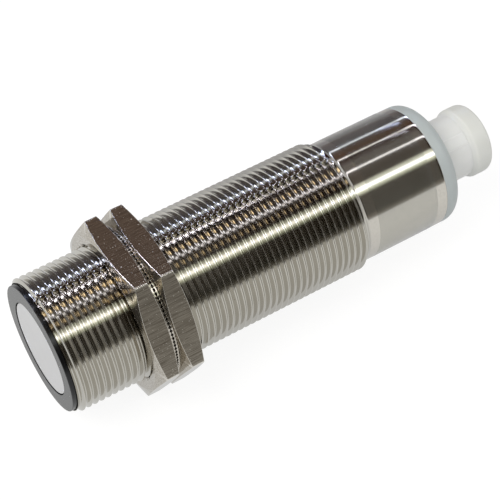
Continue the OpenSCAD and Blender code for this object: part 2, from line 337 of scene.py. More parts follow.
class Graph:
    """Adds nodes to one node tree and links them.

    Args:
        tree: the material's, world's or group's node tree. It is emptied.
    """

    def __init__(self, tree: bpy.types.NodeTree) -> None:
        """Empties the tree."""
        self.tree = tree
        tree.nodes.clear()

    def add(self, kind: str, inputs: dict | None = None, **settings: object) -> bpy.types.Node:
        """Adds a node.

        Args:
            kind: Blender's name of the node type, without ShaderNode.
            inputs: a value or another node's socket for each of its sockets, by name or number.
            settings: properties of the node.

        Returns:
            The new node.
        """
        node = self.tree.nodes.new("ShaderNode" + kind)
        for key, value in settings.items():
            setattr(node, key, value)
        for key, value in (inputs or {}).items():
            self.put(node.inputs[key], value)
        return node

    def put(self, socket: Socket, value: object) -> None:
        """Sets a socket to a value, or links another node's socket to it.

        Args:
            socket: the socket that takes it.
            value: the value or the other socket. A colour of three parts gets an alpha of 1.
        """
        if isinstance(value, Socket):
            self.tree.links.new(value, socket)
        elif isinstance(value, tuple) and len(value) == 3 and socket.type == "RGBA":
            socket.default_value = (*value, 1.0)
        else:
            socket.default_value = value

    def math(self, operation: str, *values: object) -> Socket:
        """Result of a Math node on one, two or three values or sockets."""
        return self.add("Math", dict(enumerate(values)), operation=operation).outputs[0]

    def ramp(self, value: object, low: float, high: float, to_low: float = 0.0,
             to_high: float = 1.0) -> Socket:
        """A value that goes from one end to the other as the input does.

        Args:
            value: the input.
            low: where the input starts.
            high: where the input ends.
            to_low: the result at the start.
            to_high: the result at the end.

        Returns:
            The result's socket.
        """
        node = self.add("MapRange", {"Value": value, "From Min": low, "From Max": high,
                                     "To Min": to_low, "To Max": to_high})
        return node.outputs[0]

    def mix(self, share: object, a: object, b: object) -> Socket:
        """A colour mixed from two.

        Args:
            share: how much of the second colour there is, from 0 to 1.
            a: the first colour.
            b: the second colour.

        Returns:
            The mixed colour's socket.
        """
        first, second, result = 6, 7, 2  # The colours' sockets, which share their names with others
        node = self.add("Mix", {"Factor": share, first: a, second: b}, data_type="RGBA")
        return node.outputs[result]

    def vector(self, operation: str, a: object, b: object = (0.0, 0.0, 0.0)) -> Socket:
        """Result of a Vector Math node on two vectors or colours."""
        return self.add("VectorMath", {0: a, 1: b}, operation=operation).outputs[0]

    def scaled(self, colour: object, scale: object) -> Socket:
        """A vector or colour times a number."""
        return self.add("VectorMath", {0: colour, "Scale": scale}, operation="SCALE").outputs[0]

    def place(self) -> Socket:
        """Object coordinates in millimetres."""
        coordinates = self.add("TexCoord").outputs["Object"]
        return self.add("Mapping", {"Vector": coordinates, "Scale": (1 / MM,) * 3}).outputs[0]

    def station(self) -> Socket:
        """How far along the axis a point lies, in millimetres."""
        return self.add("SeparateXYZ", {0: self.place()}).outputs["X"]

    def window(self, value: object, edges: Window) -> Socket:
        """A mask that rises between the first two edges and falls between the last two."""
        rise, fall = self.ramp(value, *edges[:2]), self.ramp(value, *edges[2:], 1.0, 0.0)
        return self.math("MULTIPLY", rise, fall)

    def effect(self, group: bpy.types.NodeTree, **inputs: object) -> bpy.types.Node:
        """Adds a node group.

        Args:
            group: the group's tree.
            inputs: its named inputs, written with _ in place of spaces.

        Returns:
            The new node.
        """
        node = self.tree.nodes.new("ShaderNodeGroup")
        node.node_tree = group
        for key, value in inputs.items():
            self.put(node.inputs[key.replace("_", " ")], value)
        return node


class Group(Graph):
    """A shader node group with named sockets.

    Args:
        name: the group's name.
        inputs: each number that goes in, with its usual value.
        outputs: each result with its kind, Float, Color or Vector.
    """

    def __init__(self, name: str, inputs: dict[str, float], outputs: dict[str, str]) -> None:
        """Makes the group with its sockets and its entry and exit."""
        super().__init__(bpy.data.node_groups.new(name, "ShaderNodeTree"))
        sockets = self.tree.interface
        for key, usual in inputs.items():
            socket = sockets.new_socket(key, in_out="INPUT", socket_type="NodeSocketFloat")
            socket.default_value = usual
        for key, kind in outputs.items():
            sockets.new_socket(key, in_out="OUTPUT", socket_type="NodeSocket" + kind)
        self.given = self.tree.nodes.new("NodeGroupInput").outputs
        self.results = self.tree.nodes.new("NodeGroupOutput").inputs

    def noise(self, place: Socket, scale: str, **settings: float) -> Socket:
        """A noise texture, its scale one of the group's inputs by name."""
        inputs = {"Vector": place, "Scale": self.given[scale], **settings}
        return self.add("TexNoise", inputs).outputs[0]

    def raise_relief(self, value: Socket) -> None:
        """Puts out a value and the normal of a relief that it makes.

        Args:
            value: how high the relief is, as a share of the group's height.
        """
        height = self.math("MULTIPLY", self.given["Height"], MM)
        bump = self.add("Bump", {"Height": value, "Distance": height,
                                 "Strength": self.given["Strength"]})
        self.put(self.results["Value"], value)
        self.put(self.results["Normal"], bump.outputs[0])


class Effects:
    """The effects that several finishes share, each built once as a node group."""

    def __init__(self) -> None:
        """Builds all the groups."""
        self.marks = self.build_marks()
        self.grain = self.build_grain()
        self.specks = self.build_specks()
        self.cloud = self.build_cloud()
        self.edge = self.build_wear_and_highlight_edges()

    @staticmethod
    def build_marks() -> bpy.types.NodeTree:
        """Fine lines, as a tool or a brush leaves them, squeezed along the axis and across it.

        Returns:
            The group's tree.
        """
        g = Group("tool_marks", {"Lines per mm": 9.0, "Height": 0.002, "Strength": 0.5,
                                 "Along": 1.0, "Across": 0.09},
                  {"Value": "Float", "Normal": "Vector"})
        along, across = g.given["Along"], g.given["Across"]
        squeeze = g.add("CombineXYZ", {0: along, 1: across, 2: across}).outputs[0]
        place = g.vector("MULTIPLY", g.place(), squeeze)
        g.raise_relief(g.noise(place, "Lines per mm", Detail=3.0, Roughness=0.6))
        return g.tree

    @staticmethod
    def build_grain() -> bpy.types.NodeTree:
        """An even fine grain, as spark-eroded moulds and blasted metal have.

        Returns:
            The group's tree.
        """
        g = Group("grain", {"Grains per mm": 6.0, "Height": 0.004, "Strength": 0.6},
                  {"Value": "Float", "Normal": "Vector"})
        g.raise_relief(g.noise(g.place(), "Grains per mm", Detail=4.0, Roughness=0.65))
        return g.tree

    @staticmethod
    def build_specks() -> bpy.types.NodeTree:
        """Small scattered specks, such as dust or pits: 1 on a speck and 0 between them.

        Returns:
            The group's tree.
        """
        g = Group("specks", {"Cells per mm": 2.0, "Size": 0.12, "Share": 0.3}, {"Mask": "Float"})
        cells = g.add("TexVoronoi", {"Vector": g.place(), "Scale": g.given["Cells per mm"]})
        lot = g.add("SeparateColor", {"Color": cells.outputs["Color"]}).outputs[0]
        near = g.math("LESS_THAN", cells.outputs["Distance"], g.given["Size"])
        drawn = g.math("LESS_THAN", lot, g.given["Share"])
        g.put(g.results["Mask"], g.math("MULTIPLY", near, drawn))
        return g.tree

    @staticmethod
    def build_cloud() -> bpy.types.NodeTree:
        """Wide soft patches, from 0 to 1, as handling and plating leave them.

        Returns:
            The group's tree.
        """
        middle = 0.5
        g = Group("cloud", {"Patches per mm": 0.15, "Contrast": 1.0}, {"Value": "Float"})
        noise = g.noise(g.place(), "Patches per mm", Detail=3.0, Roughness=0.55)
        off = g.math("SUBTRACT", noise, middle)
        spread = g.math("MULTIPLY_ADD", off, g.given["Contrast"], middle)
        g.put(g.results["Value"], g.add("Clamp", {"Value": spread}).outputs[0])
        return g.tree

    @staticmethod
    def build_wear_and_highlight_edges() -> bpy.types.NodeTree:
        """Wear along edges, and a painted highlight along them: the attribute "edge", broken up by
        a fine noise.

        Returns:
            The group's tree.
        """
        low, high, least = 0.3, 0.6, 0.55
        g = Group("edge_wear_and_highlight", {"Amount": 1.0, "Patches per mm": 2.5}, {"Mask": "Float"})
        edge = g.add("Attribute", attribute_name="edge").outputs["Fac"]
        noise = g.noise(g.place(), "Patches per mm", Detail=2.0)
        broken = g.ramp(noise, low, high, least, 1.0)
        worn = g.math("MULTIPLY", edge, broken)
        g.put(g.results["Mask"], g.math("MULTIPLY", worn, g.given["Amount"]))
        return g.tree


EFFECTS = Effects()


def blank_material(name: str) -> tuple[bpy.types.Material, Graph]:
    """Makes a material with an empty node tree.

    Args:
        name: the material's name.

    Returns:
        The material and a graph on its tree.
    """
    material = bpy.data.materials.new(name)
    material.use_nodes = True
    return material, Graph(material.node_tree)


def closed_with(g: Graph, shader: bpy.types.Node) -> None:
    """Ends a material's graph with its output node."""
    g.add("OutputMaterial", {"Surface": shader.outputs[0]})


@dataclass(frozen=True)
class Surface:
    """What every finish has.

    Attributes:
        name: the material's name.
    """

    name: str

    def shader(self, g: Graph) -> bpy.types.Node:
        """The finish's shader, which each kind of finish builds in its own way."""
        raise NotImplementedError

    def material(self) -> bpy.types.Material:
        """Builds the finish as a material.

        Returns:
            The new material.
        """
        material, g = blank_material(self.name)
        closed_with(g, self.shader(g))
        return material


@dataclass(frozen=True)
class PlatedMetal(Surface):
    """A plated metal with tool marks, painted shade in their hollows, cloudy plating, specks, and
    bright edges that are worn and partly a painted highlight.

    Attributes:
        colour: colour of the plating.
        shade: colour of its darker patches.
        roughness: lowest and highest roughness.
        lines: tool marks per millimetre.
        line_height: height of the tool marks in millimetres.
        grains: grains per millimetre.
        grain_height: height of the grain in millimetres.
        speck_share: share of the cells that hold a speck.
        speck_colour: colour of the specks.
        speck_roughness: roughness of the specks, which makes them glint in dark reflections.
        edge_wear_and_highlight_colour: colour of worn edges, paler also as a painted highlight on
            the nuts' edges.
        edge_roughness: roughness of those edges.
        squeeze: how close the tool marks lie along the axis and across it. They run the way of
            the smaller one.
        painted_hollow_shade: how much painted shade darkens the hollows of the tool marks, standing
            in for the streaky reflection of brushed metal.
        painted_hollow_shade_colour: colour of that painted shade.
        hollows: values of the tool marks between which the painted shade grows to its full amount.
        metallic: share of the surface that mirrors. The rest is a matt bloom.
        patches: cloudy patches per millimetre.
        contrast: how strongly the patches differ.
        specks: cells per millimetre, each of which may hold a speck.
        speck_size: radius of a speck, as a share of its cell.
    """

    colour: Colour
    shade: Colour
    roughness: tuple[float, float]
    lines: float
    line_height: float
    grains: float
    grain_height: float
    speck_share: float
    speck_colour: Colour
    speck_roughness: float
    edge_wear_and_highlight_colour: Colour
    edge_roughness: float = 0.1
    squeeze: tuple[float, float] = (1.0, 0.09)
    painted_hollow_shade: float = 0.0
    painted_hollow_shade_colour: Colour = (0.2, 0.17, 0.13)
    hollows: tuple[float, float] = (0.6, 0.35)
    metallic: float = 1.0
    patches: float = 0.22
    contrast: float = 1.6
    specks: float = 1.7
    speck_size: float = 0.16

    def shader(self, g: Graph) -> bpy.types.Node:
        """Builds the finish's shader.

        Args:
            g: the material's graph.

        Returns:
            The shader's node.
        """
        marks = g.effect(EFFECTS.marks, Lines_per_mm=self.lines, Height=self.line_height,
                         Along=self.squeeze[0], Across=self.squeeze[1])
        grain = g.effect(EFFECTS.grain, Grains_per_mm=self.grains, Height=self.grain_height)
        cloud = g.effect(EFFECTS.cloud, Patches_per_mm=self.patches, Contrast=self.contrast)
        specks = g.effect(EFFECTS.specks, Cells_per_mm=self.specks, Size=self.speck_size,
                          Share=self.speck_share).outputs["Mask"]
        edge = g.effect(EFFECTS.edge).outputs["Mask"]
        # Painted shade: the tool marks' hollows are darkened, standing in for the streaky
        # reflection of brushed flats
        hollow_shade_mask = g.ramp(marks.outputs["Value"], *self.hollows, 0.0, self.painted_hollow_shade)
        colour = g.mix(cloud.outputs["Value"], self.colour, self.shade)
        colour = g.mix(hollow_shade_mask, colour, self.painted_hollow_shade_colour)
        colour = g.mix(specks, colour, self.speck_colour)
        # Edges that the attribute marks turn paler: wear, and on the nuts also a painted highlight
        colour = g.mix(edge, colour, self.edge_wear_and_highlight_colour)
        rough = g.ramp(marks.outputs["Value"], *NOISE_SPAN, *self.roughness)
        rough = g.math("MAXIMUM", rough, g.math("MULTIPLY", specks, self.speck_roughness))
        rough = g.math("MAXIMUM", rough, g.math("MULTIPLY", edge, self.edge_roughness))
        # The marks' and the grain's normals are joined by adding and evening out their length
        both = g.vector("ADD", marks.outputs["Normal"], grain.outputs["Normal"])
        normal = g.vector("NORMALIZE", both)
        return g.add("BsdfPrincipled", {"Base Color": colour, "Metallic": self.metallic,
                                        "Roughness": rough, "Normal": normal})


@dataclass(frozen=True)
class Moulding(Surface):
    """An opaque moulded plastic, rubber, resin or ceramic with a fine grain.

    Attributes:
        colour: colour of the surface.
        shade: colour of its darker patches.
        roughness: lowest and highest roughness.
        grains: grains per millimetre.
        grain_height: height of the grain in millimetres.
        dust: share of the cells that hold a pale dust speck.
        index: refractive index, which sets how strongly the surface mirrors.
        side_sheen: how strongly it mirrors behind its front face, as a specular level.
        side_from: stations between which the side's sheen begins, in millimetres.
        patches: cloudy patches per millimetre.
        contrast: how strongly the patches differ.
        dust_cells: cells per millimetre, each of which may hold a dust speck.
        dust_size: radius of a dust speck, as a share of its cell.
        dust_colour: colour of the dust.
    """

    colour: Colour
    shade: Colour
    roughness: tuple[float, float] = (0.4, 0.5)
    grains: float = 7.0
    grain_height: float = 0.004
    dust: float = 0.0
    index: float = 1.5
    side_sheen: float = PLAIN_SHEEN
    side_from: tuple[float, float] = (0.1, 0.3)
    patches: float = 0.3
    contrast: float = 1.4
    dust_cells: float = 1.3
    dust_size: float = 0.1
    dust_colour: Colour = (0.6, 0.6, 0.6)

    def shader(self, g: Graph) -> bpy.types.Node:
        """Builds the finish's shader.

        Args:
            g: the material's graph.

        Returns:
            The shader's node.
        """
        grain = g.effect(EFFECTS.grain, Grains_per_mm=self.grains, Height=self.grain_height)
        cloud = g.effect(EFFECTS.cloud, Patches_per_mm=self.patches, Contrast=self.contrast)
        dust = g.effect(EFFECTS.specks, Cells_per_mm=self.dust_cells, Size=self.dust_size,
                        Share=self.dust)
        colour = g.mix(cloud.outputs["Value"], self.colour, self.shade)
        colour = g.mix(dust.outputs["Mask"], colour, self.dust_colour)
        rough = g.ramp(grain.outputs["Value"], *NOISE_SPAN, *self.roughness)
        sheen = g.ramp(g.station(), *self.side_from, PLAIN_SHEEN, self.side_sheen)
        return g.add("BsdfPrincipled", {"Base Color": colour, "Roughness": rough,
                                        "IOR": self.index, "Specular IOR Level": sheen,
                                        "Normal": grain.outputs["Normal"]})


@dataclass(frozen=True)
class Translucent(Surface):
    """A translucent plastic in which light spreads.

    Attributes:
        colour: colour of the plastic.
        shade: colour of its denser patches.
        roughness: lowest and highest roughness.
        spread: how far light spreads, in millimetres, for red, green and blue.
        share: share of the light that spreads.
        painted_shade_colour: a darker colour painted as shade where the piece is thick, against the
            brighter light it gets there.
        painted_shade_from: stations between which the painted shade sets in, in millimetres. As it
            is, they lie past the sensor's end, so that no part of the piece is shaded.
        painted_highlight: colour of a painted highlight on its edges, where they would gather
            light.
        grains: grains per millimetre.
        grain_height: height of the grain in millimetres.
        patches: cloudy patches per millimetre.
        contrast: how strongly the patches differ.
    """

    colour: Colour
    shade: Colour
    roughness: tuple[float, float]
    spread: Colour
    share: float
    painted_shade_colour: Colour = (0.5, 0.5, 0.5)
    painted_shade_from: tuple[float, float] = (900.0, 901.0)
    painted_highlight: Colour = WHITE
    grains: float = 4.0
    grain_height: float = 0.004
    patches: float = 0.25
    contrast: float = 1.4

    def shader(self, g: Graph) -> bpy.types.Node:
        """Builds the finish's shader.

        Args:
            g: the material's graph.

        Returns:
            The shader's node.
        """
        grain = g.effect(EFFECTS.grain, Grains_per_mm=self.grains, Height=self.grain_height)
        cloud = g.effect(EFFECTS.cloud, Patches_per_mm=self.patches, Contrast=self.contrast)
        colour = g.mix(cloud.outputs["Value"], self.colour, self.shade)
        # Painted shade: the piece is darker past the given stations, such as the cap's head
        colour = g.mix(g.ramp(g.station(), *self.painted_shade_from), colour, self.painted_shade_colour)
        # Painted highlight on the edges that the attribute marks, such as the cap's pad sides
        colour = g.mix(g.effect(EFFECTS.edge).outputs["Mask"], colour, self.painted_highlight)
        rough = g.ramp(grain.outputs["Value"], *NOISE_SPAN, *self.roughness)
        return g.add("BsdfPrincipled", {"Base Color": colour, "Roughness": rough,
                                        "Subsurface Weight": self.share,
                                        "Subsurface Radius": self.spread, "Subsurface Scale": MM,
                                        "Normal": grain.outputs["Normal"]})


@dataclass(frozen=True)
class ClearFilm(Surface):
    """A thin clear film with a creased gloss.

    Attributes:
        tint: colour of the light that passes one of its faces.
        colour: colour of the film's haze.
        haze: lowest and highest share of the light that the haze stops.
        roughness: roughness of its gloss.
        index: refractive index, which sets how strongly its gloss mirrors.
        creases: creases per millimetre.
        crease_height: height of the creases in millimetres.
        patches: hazy patches per millimetre.
        contrast: how strongly the patches differ.
    """

    tint: Colour
    colour: Colour
    haze: tuple[float, float]
    roughness: float
    index: float
    creases: float
    crease_height: float
    patches: float = 0.4
    contrast: float = 1.2

    def shader(self, g: Graph) -> bpy.types.Node:
        """Builds the finish's shader.

        Args:
            g: the material's graph.

        Returns:
            The shader's node.
        """
        cloud = g.effect(EFFECTS.cloud, Patches_per_mm=self.patches, Contrast=self.contrast)
        haze = g.ramp(cloud.outputs["Value"], 0.0, 1.0, *self.haze)
        creases = g.effect(EFFECTS.grain, Grains_per_mm=self.creases,
                           Height=self.crease_height).outputs["Normal"]
        clear = g.add("BsdfTransparent", {"Color": self.tint})
        hazy = g.add("BsdfPrincipled", {"Base Color": self.colour, "Roughness": self.roughness})
        body = g.add("MixShader", {0: haze, 1: clear.outputs[0], 2: hazy.outputs[0]})
        gloss = g.add("BsdfAnisotropic", {"Color": WHITE, "Roughness": self.roughness,
                                          "Normal": creases})
        # Only faces seen from outside mirror, because the clear body doesn't bend the light inside
        outside = g.math("SUBTRACT", 1.0, g.add("NewGeometry").outputs["Backfacing"])
        mirrored = g.add("Fresnel", {"IOR": self.index, "Normal": creases}).outputs[0]
        return g.add("MixShader", {0: g.math("MULTIPLY", mirrored, outside),
                                   1: body.outputs[0], 2: gloss.outputs[0]})


class Finish(Enum):
    """Every finish of the sensor, by the record's material slot."""

    BARREL = PlatedMetal(
        "barrel_nickel", (0.61, 0.59, 0.54), (0.58, 0.56, 0.51), (0.07, 0.11),
        lines=11.0, line_height=0.0005, grains=3.0, grain_height=0.0003,
        speck_share=0.05, speck_colour=(0.25, 0.2, 0.15), speck_roughness=0.2,
        edge_wear_and_highlight_colour=(0.7, 0.665, 0.605))
    NUT = PlatedMetal(
        "nut_nickel", (0.72, 0.68, 0.61), (0.66, 0.62, 0.555), (0.03, 0.08),
        lines=6.0, line_height=0.0007, grains=6.0, grain_height=0.0009,
        speck_share=0.45, speck_colour=(0.8, 0.76, 0.69), speck_roughness=0.3,
        edge_wear_and_highlight_colour=(0.85, 0.82, 0.76), edge_roughness=0.25,
        squeeze=(0.035, 1.0), painted_hollow_shade=0.7, metallic=0.95)
    PLUG = PlatedMetal(
        "plug_nickel", (0.7, 0.67, 0.61), (0.66, 0.62, 0.56), (0.1, 0.16),
        lines=11.0, line_height=0.001, grains=3.0, grain_height=0.001,
        speck_share=0.03, speck_colour=(0.3, 0.25, 0.2), speck_roughness=0.3,
        edge_wear_and_highlight_colour=(0.8, 0.76, 0.7))
    TIN = PlatedMetal(
        "tinned_sheet", (0.75, 0.75, 0.74), (0.6, 0.6, 0.6), (0.25, 0.4),
        lines=4.0, line_height=0.003, grains=4.0, grain_height=0.003,
        speck_share=0.02, speck_colour=(0.4, 0.4, 0.4), speck_roughness=0.6,
        edge_wear_and_highlight_colour=(0.9, 0.9, 0.9))
    CAN = PlatedMetal(
        "can_aluminium", (0.85, 0.86, 0.87), (0.75, 0.76, 0.78), (0.2, 0.35),
        lines=5.0, line_height=0.003, grains=5.0, grain_height=0.002,
        speck_share=0.0, speck_colour=(0.5, 0.5, 0.5), speck_roughness=0.3,
        edge_wear_and_highlight_colour=(0.95, 0.95, 0.95))
    PIN = PlatedMetal(
        "pin_gold", (0.95, 0.72, 0.33), (0.88, 0.63, 0.27), (0.12, 0.2),
        lines=10.0, line_height=0.001, grains=4.0, grain_height=0.001,
        speck_share=0.0, speck_colour=(0.5, 0.4, 0.2), speck_roughness=0.3,
        edge_wear_and_highlight_colour=(1.0, 0.82, 0.45))
    RING = Moulding("ring_plastic", (0.004, 0.0042, 0.0048), (0.003, 0.0032, 0.0038), (0.2, 0.26),
                    dust=0.03, index=1.58, side_sheen=0.33)
    FACE = Moulding("face_resin", (0.705, 0.71, 0.725), (0.675, 0.68, 0.695), (0.42, 0.5),
                    grains=9.0, grain_height=0.003, dust=0.02)
    RUBBER = Moulding("seal_rubber", (0.02, 0.02, 0.02), (0.03, 0.03, 0.03), (0.55, 0.7))
    FOAM = Moulding("foam", (0.05, 0.055, 0.06), (0.03, 0.03, 0.035), (0.85, 0.95),
                    grains=3.0, grain_height=0.03)
    PIEZO = Moulding("piezo_ceramic", (0.68, 0.62, 0.45), (0.6, 0.54, 0.38), (0.5, 0.65),
                     grains=12.0)
    DAMPER = Moulding("damping_rubber", (0.2, 0.09, 0.05), (0.14, 0.06, 0.04), (0.6, 0.75),
                      grains=4.0, grain_height=0.01)
    WIRE = Moulding("lead_wire", (0.5, 0.04, 0.03), (0.4, 0.03, 0.02), (0.35, 0.45),
                    grains=5.0, grain_height=0.002)
    BOARD = Moulding("board_laminate", (0.02, 0.13, 0.05), (0.015, 0.1, 0.04), (0.25, 0.4),
                     grains=5.0, grain_height=0.003)
    FERRITE = Moulding("ferrite", (0.09, 0.09, 0.095), (0.06, 0.06, 0.065), (0.45, 0.6),
                       grains=10.0, grain_height=0.005)
    CHIP = Moulding("chip_resin", (0.025, 0.025, 0.027), (0.018, 0.018, 0.02), (0.5, 0.6),
                    grains=14.0, grain_height=0.003)
    LAMP = Translucent("lamp_resin", (0.85, 0.75, 0.25), (0.8, 0.68, 0.2), (0.15, 0.25),
                       spread=(1.0, 0.8, 0.3), share=0.6)
    POTTING = Moulding("potting_resin", (0.03, 0.035, 0.07), (0.02, 0.025, 0.05), (0.3, 0.45),
                       grains=3.0, grain_height=0.006)
    LIGHT = Translucent("light_plastic", (0.508, 0.551, 0.556), (0.475, 0.518, 0.523), (0.3, 0.4),
                        spread=(1.0, 1.1, 1.1), share=0.6)
    CARRIER = Moulding("carrier_plastic", (0.03, 0.03, 0.032), (0.022, 0.022, 0.025), (0.4, 0.5))
    CAP = Translucent("cap_plastic", (0.84, 0.85, 0.84), (0.81, 0.82, 0.81), (0.28, 0.4),
                      spread=(1.2, 1.2, 1.15), share=1.0,
                      painted_shade_colour=(0.75, 0.76, 0.735), painted_shade_from=(103.3, 104.4), painted_highlight=(0.95, 0.95, 0.95))
    FILM = ClearFilm("clear_film", (0.945, 0.948, 0.943), (0.6, 0.6, 0.58), haze=(0.003, 0.009),
                     roughness=0.12, index=1.45, creases=0.8, crease_height=0.05)


MADE: dict[Finish, bpy.types.Material] = {}


def dressed(piece: bpy.types.Object, finish: Finish) -> bpy.types.Object:
    """Gives a piece its finish, and names the record's material slot that the finish stands for.

    Args:
        piece: a new piece, or a CAD node's object.
        finish: the finish.

    Returns:
        The same piece.
    """
    if finish not in MADE:
        MADE[finish] = finish.value.material()
    piece.data.materials.clear()
    piece.data.materials.append(MADE[finish])
    return piece


# The sensor's sub-assemblies. Their corners are tables of station, radius and cut.


@dataclass
class Barrel:
    """The plated barrel: chamfered M30 x 1.5 thread, smooth shank, and bore.

    Attributes:
        pitch: how far one turn of the thread goes.
        depth: depth of the thread.
        crest_phase: station of a crest at angle 0.
        front_chamfer: the front chamfer, as deep as it is long.
        front_land: how far the front face ends below the chamfer.
        thread_end: station where the thread ends.
        rear_chamfer: length of the slope from the crests down to the shank.
        shank_r: radius of the smooth shank.
        wall: thickness of the shank's wall.
        front_band: length of the shank's first row, which keeps its shading straight.
        rear_band: length of the shank's last row.
        rear_edge: cut of the shank's rear edge.
        bore_edge: cut of the bore's edges.
        worn_depth: how far below the crests their wear ends.
        crest_wear: how worn the crests are, from 0 to 1.
        crease: angle in degrees past which an edge stays sharp.
        columns: number of columns round the axis.
    """

    pitch: float = 1.5
    depth: float = 0.92
    crest_phase: float = 0.405
    front_chamfer: float = 0.6
    front_land: float = 0.1
    thread_end: float = 71.4
    rear_chamfer: float = 1.5
    shank_r: float = 13.85
    wall: float = 0.85
    front_band: float = 0.4
    rear_band: float = 0.6
    rear_edge: float = 0.12
    bore_edge: float = 0.05
    worn_depth: float = 0.04
    crest_wear: float = 0.3
    crease: float = 50.0
    columns: int = 132

    def build(self) -> bpy.types.Object:
        """Builds the barrel as one closed surface, its thread a true helix.

        Returns:
            The dressed barrel.
        """
        low, high = span("barrel")
        start, end, crest = low[0], high[0], high[2]
        angles = even_angles(self.columns)
        thread = Thread(crest, self.pitch, self.depth, start, self.thread_end, self.crest_phase)
        face_r = crest - self.front_chamfer
        blank = np.array([[start, face_r], [start + self.front_chamfer, crest],
                          [self.thread_end - self.rear_chamfer, crest],
                          [self.thread_end, self.shank_r]])
        bore = self.shank_r - self.wall
        tail = rounded([
            (self.thread_end, self.shank_r, 0),
            (self.thread_end + self.front_band, self.shank_r, 0),
            (end - self.rear_band, self.shank_r, 0),
            (end, self.shank_r, self.rear_edge),
            (end, bore, self.bore_edge),
            (start, bore, self.bore_edge),
            (start, face_r - self.front_land, 0),
        ], angles.size, closed=False)
        section = np.concatenate([thread.section(angles, blank), tail])
        worn = self.crest_wear * np.clip(1 - (crest - section[..., 1]) / self.worn_depth, 0, 1)
        worn[section[..., 0] > self.thread_end] = 1
        piece = solid("barrel_turned", turned_points(section, angles), crease=self.crease,
                      wear_and_highlight=worn)
        dressed(piece, Finish.BARREL)
        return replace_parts(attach(piece, "sensor"), "barrel")


class Facing(Enum):
    """Which way a lock nut's toothed face points."""

    REAR = 1
    FRONT = -1


